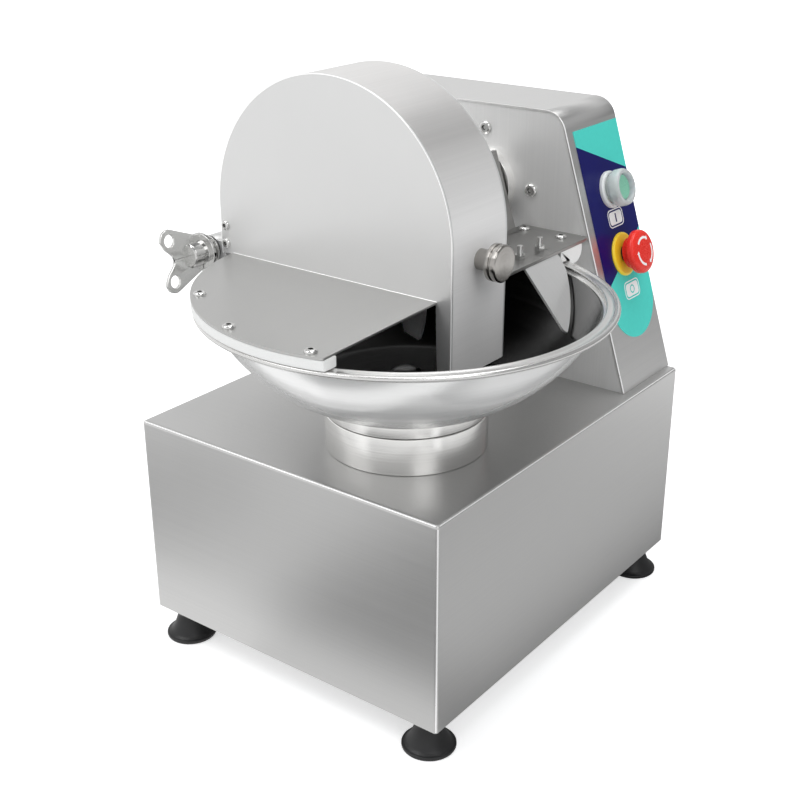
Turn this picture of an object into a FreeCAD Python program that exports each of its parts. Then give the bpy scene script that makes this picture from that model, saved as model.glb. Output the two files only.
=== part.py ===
import FreeCAD, Part
import math
import os
import re
import Sketcher
from FreeCAD import Placement, Rotation, Vector

# Tabletop bowl chopper. Millimetres. X runs right along the front, Y runs back, Z runs up.
# The origin lies on the floor, midway between the four feet.

doc = FreeCAD.newDocument("bowl_chopper")
sheet = doc.addObject("Spreadsheet::Sheet", "Sizes")

# Driving dimensions, piece by piece
SIZES = (
    ("base_width", "320", "base box across the front"),
    ("base_depth", "394", "base box from front to back"),
    ("base_height", "189", "base box without its feet"),
    ("base_sheet", "2", "wall of the base box"),
    ("base_edge", "3", "outside bend radius of the base box"),
    ("floor_sheet", "3", "bottom plate"),
    ("foot_height", "32", "rubber foot"),
    ("foot_radius", "23", "rubber foot at the floor"),
    ("foot_neck", "11.5", "rubber foot at its waist"),
    ("foot_top", "15", "rubber foot under the bottom plate"),
    ("foot_inset_x", "21.5", "foot centre from the side of the base"),
    ("foot_inset_y", "20", "foot centre from the front or back of the base"),
    ("foot_screw", "3", "radius of a foot screw"),
    ("tower_depth", "90", "drive tower from front to back"),
    ("tower_height", "248", "drive tower above the deck"),
    ("tower_foot", "151", "sloping side of the drive tower right of the middle, at the deck"),
    ("tower_crest", "71.5", "sloping side right of the middle where it meets the top"),
    ("tower_corner", "21", "bend radius of the top corners"),
    ("tower_sheet", "2", "skin of the drive tower"),
    ("panel_sheet", "2", "front panel and rear cover"),
    ("panel_recess", "1", "panels set back inside the skin"),
    ("seam_gap", "0.2", "seam round a panel"),
    ("belt_way", "30", "deck opening for the belt, from front to back"),
    ("bowl_x", "50", "bowl axis right of the middle"),
    ("bowl_ahead", "90", "bowl axis before the middle of the base"),
    ("rim_rise", "128", "bowl rim above the deck"),
    ("rim_radius", "172", "bowl rim outside"),
    ("rim_flange", "12", "width of the turned-out rim"),
    ("bowl_sheet", "3", "bowl wall"),
    ("bowl_floor", "8", "bowl floor thickness"),
    ("bowl_flat", "60", "flat radius under the bowl"),
    ("knee_run", "28", "width of the bend from floor to wall"),
    ("knee_rise", "6.5", "height of the bend from floor to wall"),
    ("hub_radius", "18", "raised middle of the bowl at its top"),
    ("hub_height", "7", "raised middle above the bowl floor"),
    ("collar_radius", "69", "turned collar under the bowl"),
    ("collar_height", "32", "turned collar above the deck"),
    ("collar_gap", "0.6", "running gap between collar and foot ring"),
    ("ring_height", "11.4", "foot ring of the bowl"),
    ("ring_bore", "49", "foot ring inside"),
    ("bowl_shaft_radius", "12.5", "vertical shaft of the bowl"),
    ("spigot_radius", "10", "shaft end in the bowl floor"),
    ("bowl_bearing_radius", "26", "bearing of the bowl shaft"),
    ("bowl_bearing_width", "15", "bearing of the bowl shaft"),
    ("hood_x", "-12", "middle of the knife hood"),
    ("hood_ahead", "22", "front of the hood before the bowl axis"),
    ("hood_depth", "76", "knife hood from front to back"),
    ("hood_radius", "122", "arch of the knife hood"),
    ("hood_rise", "180", "centre of the arch above the deck"),
    ("hood_sheet", "2", "sheet of the hood"),
    ("hood_dip", "54.5", "right wall of the hood below the bowl rim"),
    ("hood_leg", "14", "front strip beside the feed mouth"),
    ("skirt_rise", "11", "top of the skirt above the bowl rim"),
    ("skirt_sheet", "2", "sheet of the skirt"),
    ("skirt_radius", "172.5", "curved edge of the skirt about the bowl axis"),
    ("skirt_flare", "6", "right edge of the skirt out of square"),
    ("strip_width", "13", "white wiping strip"),
    ("wipe_gap", "0.6", "wiping strip above the rim"),
    ("hinge_offset", "16", "hinge axis left of the hood"),
    ("hinge_rise", "9", "hinge axis above the bowl rim"),
    ("hinge_radius", "7", "hinge rod"),
    ("eye_radius", "12", "hinge knuckle round the rod"),
    ("knuckle_depth", "24", "hinge knuckle along the rod"),
    ("running_gap", "0.06", "radial running clearance"),
    ("spindle_x", "-8", "knife spindle axis"),
    ("spindle_rise", "174", "knife spindle above the deck"),
    ("spindle_radius", "10", "knife spindle"),
    ("bearing_radius", "23.5", "bearing of the knife spindle"),
    ("bearing_width", "14", "bearing of the knife spindle"),
    ("neck_radius", "27", "spindle housing behind the hood"),
    ("boss_radius", "34", "spindle housing at the tower"),
    ("boss_length", "11", "spindle housing boss before the front panel"),
    ("flange_radius", "62", "spindle housing flange behind the panel"),
    ("flange_sheet", "8", "spindle housing flange"),
    ("flange_bolt_circle", "51", "radius of the flange screws"),
    ("knife_radius", "107", "knife tip from the spindle axis"),
    ("knife_sheet", "4", "knife blade"),
    ("knife_pitch", "12", "one knife to the next"),
    ("knife_hub", "19", "knives and spacers round the spindle"),
    ("knife_setback", "24", "knives before the back of the hood"),
    ("bracket_rise", "13", "top of the rear bracket above the bowl rim"),
    ("bracket_sheet", "3", "rear bracket"),
    ("bracket_left", "44", "bend of the rear bracket right of the spindle"),
    ("bracket_right", "113", "edge of the rear bracket right of the spindle"),
    ("web_height", "68", "upright web of the rear bracket"),
    ("web_lean", "23", "upright web out of plumb"),
    ("scraper_sheet", "2", "scraper blade"),
    ("scraper_front", "92", "scraper edge behind the bowl axis"),
    ("scraper_lean", "45", "scraper blade out of plumb, degrees"),
    ("scraper_gap", "2.5", "scraper blade to the bowl wall"),
    ("scraper_blade", "64", "scraper blade down from its fold"),
    ("scraper_flange", "22", "scraper flange across"),
    ("scraper_shy", "4.8", "scraper inside the rear wiping strip"),
    ("scraper_slant", "6.3", "front edge of the scraper blade out of square"),
    ("scraper_tip", "5", "corner radius of the scraper blade"),
    ("guard_gap", "4", "white rear block before the front panel"),
    ("guard_drop", "18", "white rear block below the top of the bracket"),
    ("knob_radius", "15", "lifting knob"),
    ("knob_stem", "8.5", "neck of the lifting knob"),
    ("knob_reach", "23", "lifting knob out from the hood"),
    ("knob_drop", "13", "lifting knob below the arch centre"),
    ("button_row", "50", "controls behind the front of the tower"),
    ("start_height", "181", "start button up the slope"),
    ("stop_height", "120.5", "stop button up the slope"),
    ("label_sheet", "0.5", "control label"),
    ("label_top", "241", "control label up the slope"),
    ("label_front", "10", "control label behind the front of the tower"),
    ("label_end_radius", "39", "round lower end of the control label"),
    ("motor_x", "-85", "motor axis"),
    ("motor_rise", "70", "motor axis above the bottom plate"),
    ("motor_radius", "60", "motor casing"),
    ("motor_length", "180", "motor casing"),
    ("motor_ahead", "100", "front of the motor casing before the middle of the base"),
    ("motor_shaft_radius", "9", "motor shaft"),
    ("drive_pulley_radius", "38", "motor pulley of the knife belt"),
    ("knife_pulley_radius", "30", "spindle pulley of the knife belt"),
    ("bowl_pulley_radius", "25", "motor pulley of the bowl belt"),
    ("worm_pulley_radius", "35", "worm pulley of the bowl belt"),
    ("belt_width", "10", "drive belts"),
    ("belt_sheet", "6", "thickness of a drive belt"),
    ("belt_gap", "0.3", "belt to pulley"),
    ("knife_belt_setback", "45", "knife belt before the back of the base"),
    ("bowl_belt_ahead", "67", "bowl belt before the bowl axis"),
    ("wheel_module", "2", "worm gearing"),
    ("wheel_teeth", "40", "worm wheel"),
    ("wheel_width", "16", "worm wheel"),
    ("worm_radius", "14", "worm at its pitch line"),
    ("worm_shaft_radius", "8", "worm shaft"),
    ("tooth_share", "0.36", "tooth thickness as a share of the pitch"),
    ("gear_drop", "99", "worm wheel centre below the deck"),
    ("gear_wall", "8", "gearbox wall"),
    ("gear_slack", "4", "gears to the gearbox wall"),
)

# Places worked out from the driving dimensions
PLACES = (
    ("deck_z", "=foot_height + base_height"),
    ("floor_z", "=foot_height + floor_sheet"),
    ("front_y", "=-base_depth / 2"),
    ("back_y", "=base_depth / 2"),
    ("tower_y", "=back_y - tower_depth"),
    ("panel_y", "=tower_y + panel_recess"),
    ("tower_z", "=deck_z + tower_height"),
    ("tower_left", "=base_width / 2"),
    ("lean", "=atan((tower_foot - tower_crest) / tower_height)"),
    ("corner_run", "=tower_corner * tan((90 deg - lean) / 2)"),
    ("bowl_y", "=-bowl_ahead"),
    ("rim_z", "=deck_z + rim_rise"),
    ("ring_z", "=deck_z + collar_height + collar_gap"),
    ("under_z", "=ring_z + ring_height"),
    ("bowl_floor_z", "=under_z + bowl_floor"),
    ("hub_z", "=bowl_floor_z + hub_height"),
    ("knee_x", "=bowl_flat + knee_run"),
    ("knee_z", "=under_z + knee_rise"),
    ("knee_bend", "=(knee_run * knee_run + knee_rise * knee_rise) / (2 * knee_rise)"),
    ("knee_angle", "=2 * atan(knee_rise / knee_run)"),
    ("wall_x", "=rim_radius - rim_flange"),
    ("wall_z", "=rim_z - 5"),
    ("wall_angle", "=atan((wall_z - knee_z) / (wall_x - knee_x))"),
    ("wall_chord", "=sqrt(pow(wall_x - knee_x; 2) + pow(wall_z - knee_z; 2))"),
    ("wall_bend", "=wall_chord / 2 / sin(wall_angle - knee_angle)"),
    ("wall_mid_x", "=knee_x - wall_bend * sin(knee_angle)"),
    ("wall_mid_z", "=knee_z + wall_bend * cos(knee_angle)"),
    ("hood_y", "=bowl_y - hood_ahead"),
    ("hood_back_y", "=hood_y + hood_depth"),
    ("hood_left", "=hood_x - hood_radius"),
    ("hood_right", "=hood_x + hood_radius"),
    ("arch_z", "=deck_z + hood_rise"),
    ("skirt_z", "=rim_z + skirt_rise"),
    ("skirt_under_z", "=skirt_z - skirt_sheet"),
    ("mouth_x", "=hood_right - hood_leg"),
    ("hinge_x", "=hood_left - hinge_offset"),
    ("hinge_z", "=rim_z + hinge_rise"),
    ("spindle_z", "=deck_z + spindle_rise"),
    ("hub_back_y", "=hood_back_y - knife_setback"),
    ("bracket_z", "=rim_z + bracket_rise"),
    ("bracket_x", "=spindle_x + bracket_left"),
    ("bracket_edge_x", "=spindle_x + bracket_right"),
    ("bracket_front_y", "=hood_back_y + 3"),
    ("row_y", "=tower_y + button_row"),
    ("motor_z", "=floor_z + motor_rise"),
    ("motor_y", "=-motor_ahead"),
    ("motor_end_y", "=motor_y + motor_length"),
    ("knife_belt_y", "=back_y - knife_belt_setback"),
    ("bowl_belt_y", "=bowl_y - bowl_belt_ahead"),
    ("wheel_radius", "=wheel_module * wheel_teeth / 2"),
    ("worm_x", "=bowl_x + wheel_radius + worm_radius"),
    ("gear_z", "=deck_z - gear_drop"),
    ("gear_left", "=bowl_x - wheel_radius - wheel_module - gear_slack"),
    ("gear_right", "=worm_x + worm_radius + wheel_module + gear_slack"),
    ("gear_half", "=wheel_radius + wheel_module + gear_slack"),
    ("gear_under_z", "=gear_z - worm_radius - wheel_module - gear_slack"),
    ("gear_over_z", "=gear_z + worm_radius + wheel_module + gear_slack"),
)

for row, (name, text, note) in enumerate(SIZES, start=1):
    sheet.set("A%d" % row, name)
    sheet.set("B%d" % row, text)
    sheet.set("C%d" % row, note)
    sheet.setAlias("B%d" % row, name)
for row, (name, text) in enumerate(PLACES, start=len(SIZES) + 1):
    sheet.set("A%d" % row, name)
    sheet.set("B%d" % row, text)
    sheet.setAlias("B%d" % row, name)
doc.recompute()

NAMES = {entry[0] for entry in SIZES + PLACES}
WORKING_CELL = "E1"
PARTS = []


def size(name):
    """The number in a named cell."""
    value = sheet.get(name)
    return float(getattr(value, "Value", value))


def number(text):
    """The value of a formula written with the names of the cells."""
    sheet.set(WORKING_CELL, "=" + text)
    sheet.recompute()
    value = sheet.get(WORKING_CELL)
    return float(getattr(value, "Value", value))


def tied(text):
    """The same formula as other objects of the document read it."""
    return re.sub(r"[a-z_]+", lambda word: "Sizes." + word[0] if word[0] in NAMES else word[0], text)


def bind(thing, target, text):
    """Ties one property of an object to a formula."""
    thing.setExpression(target, tied(text))


def sketch_on(body, role, lift="0"):
    """A sketch on one of the body's own origin planes, lifted along that plane's normal."""
    plane = [part for part in body.Origin.OriginFeatures if part.Role == role][0]
    sketch = body.newObject("Sketcher::SketchObject", "Sketch")
    sketch.AttachmentSupport = [(plane, "")]
    sketch.MapMode = "FlatFace"
    if lift != "0":
        bind(sketch, "AttachmentOffset.Base.z", lift)
    return sketch


def fix(sketch, kind, first, first_end, second, second_end, text):
    """A signed distance between two points of a sketch, tied to a formula."""
    rule = Sketcher.Constraint(kind, first, first_end, second, second_end, number(text))
    index = sketch.addConstraint(rule)
    if re.search(r"[a-z]", text):
        bind(sketch, "Constraints[%d]" % index, text)


def closed_outline(sketch, corners):
    """A closed outline through (x, y) corners. A corner (x, y, radius, side) starts an arc:
    side is "left" or "right", where the arc's centre lies as the outline runs on."""
    spots = [Vector(number(corner[0]), number(corner[1]), 0) for corner in corners]
    ends = []
    for place, corner in enumerate(corners):
        here = spots[place]
        there = spots[(place + 1) % len(spots)]
        if len(corner) == 2:
            ends.append((sketch.addGeometry(Part.LineSegment(here, there), False), 1, 2))
            continue
        radius = number(corner[2])
        chord = there - here
        aside = Vector(-chord.y, chord.x, 0).normalize()
        if corner[3] == "right":
            aside = -aside
        depth = math.sqrt(max(radius * radius - chord.Length * chord.Length / 4, 0))
        centre = here + chord * 0.5 + aside * depth
        first, last = (here, there) if corner[3] == "left" else (there, here)
        start = math.atan2(first.y - centre.y, first.x - centre.x)
        stop = math.atan2(last.y - centre.y, last.x - centre.x)
        stop += 2 * math.pi if stop <= start else 0
        arc = Part.ArcOfCircle(Part.Circle(centre, Vector(0, 0, 1), radius), start, stop)
        index = sketch.addGeometry(arc, False)
        ends.append((index, 1, 2) if corner[3] == "left" else (index, 2, 1))
        if depth < radius / 100:
            level = abs(chord.y) < abs(chord.x)
            fix(sketch, "DistanceY" if level else "DistanceX", -1, 1, index, 3, corner[int(level)])
            continue
        rule = sketch.addConstraint(Sketcher.Constraint("Radius", index, radius))
        bind(sketch, "Constraints[%d]" % rule, corner[2])
    for place, corner in enumerate(corners):
        edge, start, stop = ends[place]
        follower, follower_start, follower_stop = ends[(place + 1) % len(ends)]
        joined = Sketcher.Constraint("Coincident", edge, stop, follower, follower_start)
        sketch.addConstraint(joined)
        fix(sketch, "DistanceX", -1, 1, edge, start, corner[0])
        fix(sketch, "DistanceY", -1, 1, edge, start, corner[1])


def circles(sketch, rounds):
    """Circles given as (x, y, radius)."""
    for x, y, radius in rounds:
        ring = Part.Circle(Vector(number(x), number(y), 0), Vector(0, 0, 1), number(radius))
        index = sketch.addGeometry(ring, False)
        rule = sketch.addConstraint(Sketcher.Constraint("Radius", index, number(radius)))
        bind(sketch, "Constraints[%d]" % rule, radius)
        fix(sketch, "DistanceX", -1, 1, index, 3, x)
        fix(sketch, "DistanceY", -1, 1, index, 3, y)


def drawn(body, plane, start, corners, rounds):
    """A sketch of outlines and circles. Sketches on XZ_Plane look along +Y."""
    sketch = sketch_on(body, plane, "-(%s)" % start if plane == "XZ_Plane" else start)
    for outline in corners:
        closed_outline(sketch, outline)
    circles(sketch, rounds)
    return sketch


def pad(body, plane, start, depth, corners=(), rounds=()):
    """Adds a flat form from start to start + depth along the plane's row axis."""
    feature = body.newObject("PartDesign::Pad", "Pad")
    feature.Profile = drawn(body, plane, start, corners, rounds)
    bind(feature, "Length", depth)
    feature.Reversed = plane == "XZ_Plane"
    return feature


def pocket(body, plane, start, depth, corners=(), rounds=()):
    """Cuts a flat form from start to start + depth along the plane's row axis."""
    feature = body.newObject("PartDesign::Pocket", "Pocket")
    feature.Profile = drawn(body, plane, start, corners, rounds)
    bind(feature, "Length", depth)
    feature.Reversed = plane != "XZ_Plane"
    return feature


def box(x, y, far_x, far_y):
    """A rectangle between two corners."""
    return ((x, y), (far_x, y), (far_x, far_y), (x, far_y))


def new_body(label, at=("0", "0", "0"), turn=None):
    """An empty body with its own name and place."""
    body = doc.addObject("PartDesign::Body", label)
    body.Label = label
    body.AllowCompound = True
    if turn:
        body.Placement = Placement(Vector(), turn)
    for axis, text in zip("xyz", at):
        if text != "0":
            bind(body, "Placement.Base." + axis, text)
    return body


def flat(label, plane, start, depth, corners=(), rounds=()):
    """A part padded from one sketch."""
    body = new_body(label)
    pad(body, plane, start, depth, corners, rounds)
    PARTS.append(body)
    return body


def turn_profile(body, corners, kind="PartDesign::Revolution"):
    """Revolves a (radius, height) profile about the body's own Z axis."""
    feature = body.newObject(kind, "Turned")
    sketch = drawn(body, "XZ_Plane", "0", (corners,), ())
    feature.Profile = sketch
    feature.ReferenceAxis = (sketch, ["V_Axis"])
    feature.Angle = 360
    return feature


ALONG_Y = Rotation(Vector(1, 0, 0), -90)
TOWARDS_FRONT = Rotation(Vector(1, 0, 0), 90)
TOWARDS_RIGHT = Rotation(Vector(0, 1, 0), 90)
OUT_OF_SLOPE = Rotation(Vector(0, 1, 0), 90 - size("lean"))


def turned(label, corners, at, turn=None):
    """A part turned on a lathe from a (radius, height) profile."""
    body = new_body(label, at, turn)
    turn_profile(body, corners)
    PARTS.append(body)
    return body


def fused(label, shape):
    """A part whose shape is worked out in code from the sheet."""
    feature = doc.addObject("Part::Feature", label)
    feature.Label = label
    feature.Shape = shape
    PARTS.append(feature)
    return feature


def button_screw(head, shank, length):
    """One button-head screw with a hexagon socket, head upwards from the seat at z = 0."""
    height = head * 0.5
    cap = Part.makeCylinder(head, height)
    cap = cap.makeFillet(height * 0.85, [edge for edge in cap.Edges if edge.CenterOfMass.z > height * 0.99])
    reach = head * 0.42
    hexagon = [Vector(reach * math.cos(math.radians(60 * k)), reach * math.sin(math.radians(60 * k)), 0)
               for k in range(7)]
    socket = Part.Face(Part.makePolygon(hexagon)).extrude(Vector(0, 0, height))
    socket.translate(Vector(0, 0, height * 0.4))
    stem = Part.makeCylinder(shank, length, Vector(0, 0, -length))
    return cap.cut(socket).fuse(stem).removeSplitter()


def placed(one, places):
    """Copies of one fastener at several places."""
    copies = []
    for place in places:
        copy = one.copy()
        copy.Placement = place
        copies.append(copy)
    return copies


def drilled(body, plane, start, depth, rounds):
    """Screw or shaft holes through a part."""
    pocket(body, plane, start, depth, rounds=rounds)


# Base box: a deep-drawn and welded stainless box, open below
base = flat("base_housing", "XY_Plane", "foot_height", "base_height",
            (box("-base_width / 2", "front_y", "base_width / 2", "back_y"),))
doc.recompute()
blank = base.Tip
bends = []
for index, edge in enumerate(blank.Shape.Edges, start=1):
    middle = edge.CenterOfMass
    upright = abs(edge.BoundBox.ZLength - size("base_height")) < 0.01
    if upright or abs(middle.z - size("deck_z")) < 0.01:
        bends.append("Edge%d" % index)
rounding = base.newObject("PartDesign::Fillet", "Bends")
rounding.Base = (blank, bends)
bind(rounding, "Radius", "base_edge")
pocket(base, "XY_Plane", "foot_height - 1", "base_height + 1 - base_sheet",
       (box("base_sheet - base_width / 2", "front_y + base_sheet",
            "base_width / 2 - base_sheet", "back_y - base_sheet"),))
BELT_LEFT = "motor_x - drive_pulley_radius"
BELT_RIGHT = "spindle_x + knife_pulley_radius"
pocket(base, "XY_Plane", "deck_z - base_sheet - 1", "base_sheet + 2",
       (box(BELT_LEFT, "knife_belt_y - belt_way / 2", BELT_RIGHT, "knife_belt_y + belt_way / 2"),),
       (("bowl_x", "bowl_y", "bowl_bearing_radius + 8"),))

# Vent slots in the back of the base box, and the hole of the cable gland
SLOTS = 7
SLOT_PITCH = 12
SLOT_WIDTH = 3.5
SLOT_LENGTH = 46
slots = []
for place in range(SLOTS):
    left = "motor_x + %g" % ((place - (SLOTS - 1) / 2) * SLOT_PITCH - SLOT_WIDTH / 2)
    bottom = "motor_z - %g" % (SLOT_LENGTH / 2)
    slots.append(box(left, bottom, left + " + %g" % SLOT_WIDTH, bottom + " + %g" % SLOT_LENGTH))
pocket(base, "XZ_Plane", "back_y - base_sheet - 1", "base_sheet + 2", slots)
GLAND_X = "base_width / 2 - 40"
GLAND_Z = "floor_z + 40"
drilled(base, "XZ_Plane", "back_y - base_sheet - 1", "base_sheet + 2", ((GLAND_X, GLAND_Z, "8"),))

# Bottom plate inside the box walls
bottom = flat("bottom_plate", "XY_Plane", "foot_height", "floor_sheet",
              (box("base_sheet - base_width / 2", "front_y + base_sheet",
                   "base_width / 2 - base_sheet", "back_y - base_sheet"),))
FOOT_SPOTS = []
for side in (-1, 1):
    for end in (-1, 1):
        FOOT_SPOTS.append(("%d * (base_width / 2 - foot_inset_x)" % side,
                           "%d * (base_depth / 2 - foot_inset_y)" % end))
drilled(bottom, "XY_Plane", "foot_height - 1", "floor_sheet + 2",
        [(x, y, "foot_screw") for x, y in FOOT_SPOTS])

# Bell-shaped rubber feet, each held by a screw from below
FOOT_PROFILE = (
    ("foot_screw", "6"),
    ("foot_screw + 4", "6"),
    ("foot_screw + 4", "0"),
    ("foot_radius", "0"),
    ("foot_radius", "3", "foot_height * 0.85", "right"),
    ("foot_neck", "foot_height * 0.7"),
    ("foot_top", "foot_height"),
    ("foot_screw", "foot_height"),
)
FOOT_NAMES = ("foot_front_left", "foot_rear_left", "foot_front_right", "foot_rear_right")
for name, (x, y) in zip(FOOT_NAMES, FOOT_SPOTS):
    turned(name, FOOT_PROFILE, (x, y, "0"))
foot_bolt = Part.makeCylinder(size("foot_screw") + 2, 3, Vector(0, 0, 3)).fuse(
    Part.makeCylinder(size("foot_screw"), size("foot_height"), Vector(0, 0, 6))).removeSplitter()
housing_screws = placed(foot_bolt, [Placement(Vector(number(x), number(y), 0), Rotation())
                                    for x, y in FOOT_SPOTS])


# Drive tower: a wrapped skin with rounded top corners
def tower_outline(inset, bottom):
    """The tower's front outline, drawn in by an inset."""
    crest = "(tower_crest + (%s) * tan(lean) - (%s) / cos(lean))" % (inset, inset)
    top = "(tower_z - (%s))" % inset
    bend = "(tower_corner - (%s))" % inset
    run = "(%s * tan((90 deg - lean) / 2))" % bend
    left = "(tower_left - (%s))" % inset
    return (
        ("%s + (%s - (%s)) * tan(lean)" % (crest, top, bottom), bottom),
        ("%s + %s * sin(lean)" % (crest, run), "%s - %s * cos(lean)" % (top, run), bend, "left"),
        ("%s - %s" % (crest, run), top),
        ("%s - %s" % (bend, left), top, bend, "left"),
        ("-" + left, "%s - %s" % (top, bend)),
        ("-" + left, bottom),
    )


skin = flat("tower_skin", "XZ_Plane", "tower_y", "tower_depth", (tower_outline("0", "deck_z"),))
pocket(skin, "XZ_Plane", "tower_y - 1", "tower_depth + 2", (tower_outline("tower_sheet", "deck_z - 1"),))
PANEL_INSET = "tower_sheet + seam_gap"
front_panel = flat("tower_front_panel", "XZ_Plane", "panel_y", "panel_sheet",
                   (tower_outline(PANEL_INSET, "deck_z"),))
rear_cover = flat("tower_rear_cover", "XZ_Plane", "back_y - panel_recess - panel_sheet", "panel_sheet",
                  (tower_outline(PANEL_INSET, "deck_z"),))
drilled(front_panel, "XZ_Plane", "panel_y - 1", "panel_sheet + 2",
        (("spindle_x", "spindle_z", "boss_radius"),))

# Screws of the rear cover
COVER_SCREW = "2.5"
cover_spots = []
for side in (-1, 1):
    for share in (0.08, 0.5, 0.86):
        height = "(deck_z + tower_height * %g)" % share
        reach = "tower_foot - 14 - tower_height * %g * tan(lean)" % share
        cover_spots.append((reach if side > 0 else "12 - tower_left", height))
drilled(rear_cover, "XZ_Plane", "back_y - panel_recess - panel_sheet - 1", "panel_sheet + 2",
        [(x, z, COVER_SCREW) for x, z in cover_spots])
housing_screws += placed(button_screw(4.75, 2.5, 10),
                         [Placement(Vector(number(x), number("back_y - panel_recess"), number(z)), ALONG_Y)
                          for x, z in cover_spots])

# Turned aluminium collar on the deck, with the upper bearing of the bowl shaft
COLLAR_AT = ("bowl_x", "bowl_y", "0")
COLLAR_TOP = "(deck_z + collar_height)"
collar = turned("bowl_collar", (
    ("bowl_bearing_radius - 4", "deck_z - base_sheet"),
    ("bowl_bearing_radius + 8", "deck_z - base_sheet"),
    ("bowl_bearing_radius + 8", "deck_z"),
    ("collar_radius", "deck_z"),
    ("collar_radius", COLLAR_TOP + " - 1"),
    ("collar_radius - 1", COLLAR_TOP),
    ("bowl_bearing_radius", COLLAR_TOP),
    ("bowl_bearing_radius", COLLAR_TOP + " - bowl_bearing_width - 2"),
    ("bowl_bearing_radius - 4", COLLAR_TOP + " - bowl_bearing_width - 2"),
), COLLAR_AT)


# Bowl, pressed from thick stainless sheet, with a turned-out rim
def wall_radius(height, inset):
    """Radius of the bowl wall at a height, measured inset from its outside."""
    return "(wall_mid_x + sqrt(pow(wall_bend - (%s); 2) - pow(wall_mid_z - (%s); 2)))" % (inset, height)


BOWL_BORE = "spigot_radius + running_gap"
BOWL_PROFILE = (
    (BOWL_BORE, "under_z"),
    ("bowl_flat", "under_z", "knee_bend", "left"),
    ("knee_x", "knee_z", "wall_bend", "left"),
    ("wall_x", "wall_z"),
    ("rim_radius - 3", "rim_z - 6"),
    ("rim_radius", "rim_z - 4.5"),
    ("rim_radius", "rim_z - 1.5"),
    ("rim_radius - 1.5", "rim_z"),
    ("wall_x + 1", "rim_z"),
    (wall_radius("rim_z - 4", "bowl_sheet"), "rim_z - 4", "wall_bend - bowl_sheet", "right"),
    (wall_radius("bowl_floor_z", "bowl_sheet"), "bowl_floor_z"),
    ("hub_radius * 1.7", "bowl_floor_z"),
    ("hub_radius", "hub_z"),
    (BOWL_BORE, "hub_z"),
)
turned("bowl", BOWL_PROFILE, COLLAR_AT)

# Aluminium foot ring under the bowl
turned("bowl_foot_ring", (
    ("ring_bore", "ring_z"),
    ("collar_radius - 1", "ring_z"),
    ("collar_radius", "ring_z + 1"),
    ("collar_radius", "under_z"),
    ("ring_bore", "under_z"),
), COLLAR_AT)

# Bowl shaft: journal, drive plate under the bowl and threaded spigot
turned("bowl_shaft", (
    ("0", "gear_z - 16"),
    ("bowl_shaft_radius - running_gap", "gear_z - 16"),
    ("bowl_shaft_radius - running_gap", COLLAR_TOP + " + 1"),
    ("ring_bore", COLLAR_TOP + " + 2"),
    ("ring_bore", "under_z"),
    ("spigot_radius", "under_z"),
    ("spigot_radius", "hub_z + 4"),
    ("0", "hub_z + 4"),
), COLLAR_AT)

# Domed nut that holds the bowl down
turned("bowl_nut", (
    ("spigot_radius", "hub_z"),
    ("13", "hub_z"),
    ("13", "hub_z + 3.5", "12", "left"),
    ("5", "hub_z + 7"),
    ("0", "hub_z + 7"),
    ("0", "hub_z + 4"),
    ("spigot_radius", "hub_z + 4"),
), COLLAR_AT)

# Two bearings of the bowl shaft, one in the collar and one on the gearbox
BOWL_BEARING_LOW = "(gear_over_z + gear_wall)"
bearings = new_body("bowl_drive_bearings", COLLAR_AT)
for start in (COLLAR_TOP + " - bowl_bearing_width - 2", BOWL_BEARING_LOW):
    turn_profile(bearings, box("bowl_shaft_radius", start, "bowl_bearing_radius",
                               start + " + bowl_bearing_width"))
PARTS.append(bearings)

# Worm wheel on the bowl shaft
WHEEL_AT = ("bowl_x", "bowl_y", "gear_z")
wheel = new_body("worm_wheel", WHEEL_AT)
turn_profile(wheel, box("bowl_shaft_radius - running_gap", "-wheel_width / 2",
                        "wheel_radius + wheel_module * 0.7", "wheel_width / 2"))
GAP_HALF = "(3.14159 * wheel_module * (1 - tooth_share) / 2)"
tooth_space = pocket(wheel, "XY_Plane", "-wheel_width / 2 - 1", "wheel_width + 2", ((
    ("wheel_radius - wheel_module", "-%s + 0.5" % GAP_HALF),
    ("wheel_radius + wheel_module * 2", "-%s - 0.6" % GAP_HALF),
    ("wheel_radius + wheel_module * 2", "%s + 0.6" % GAP_HALF),
    ("wheel_radius - wheel_module", "%s - 0.5" % GAP_HALF),
),))
teeth = wheel.newObject("PartDesign::PolarPattern", "Teeth")
teeth.Originals = [tooth_space]
teeth.Axis = (tooth_space.Profile[0], ["N_Axis"])
teeth.Angle = 360
bind(teeth, "Occurrences", "wheel_teeth")
wheel.Tip = teeth
PARTS.append(wheel)

# Worm shaft with its thread, and its two bearings in the gearbox walls
WORM_AT = ("worm_x", "bowl_y", "gear_z")
THREAD_PITCH = "(3.14159 * wheel_module)"
THREAD_START = "(-4.5 * %s)" % THREAD_PITCH
worm = new_body("worm_shaft", WORM_AT, ALONG_Y)
turn_profile(worm, (
    ("0", "bowl_belt_y - bowl_y - belt_width"),
    ("worm_shaft_radius", "bowl_belt_y - bowl_y - belt_width"),
    ("worm_shaft_radius", THREAD_START + " - 5"),
    ("worm_radius - wheel_module", THREAD_START + " - 5"),
    ("worm_radius - wheel_module", "5 - " + THREAD_START),
    ("worm_shaft_radius", "5 - " + THREAD_START),
    ("worm_shaft_radius", "gear_half + gear_wall"),
    ("0", "gear_half + gear_wall"),
))
RIDGE_HALF = "(3.14159 * wheel_module * tooth_share / 2)"
thread = worm.newObject("PartDesign::AdditiveHelix", "Thread")
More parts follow.
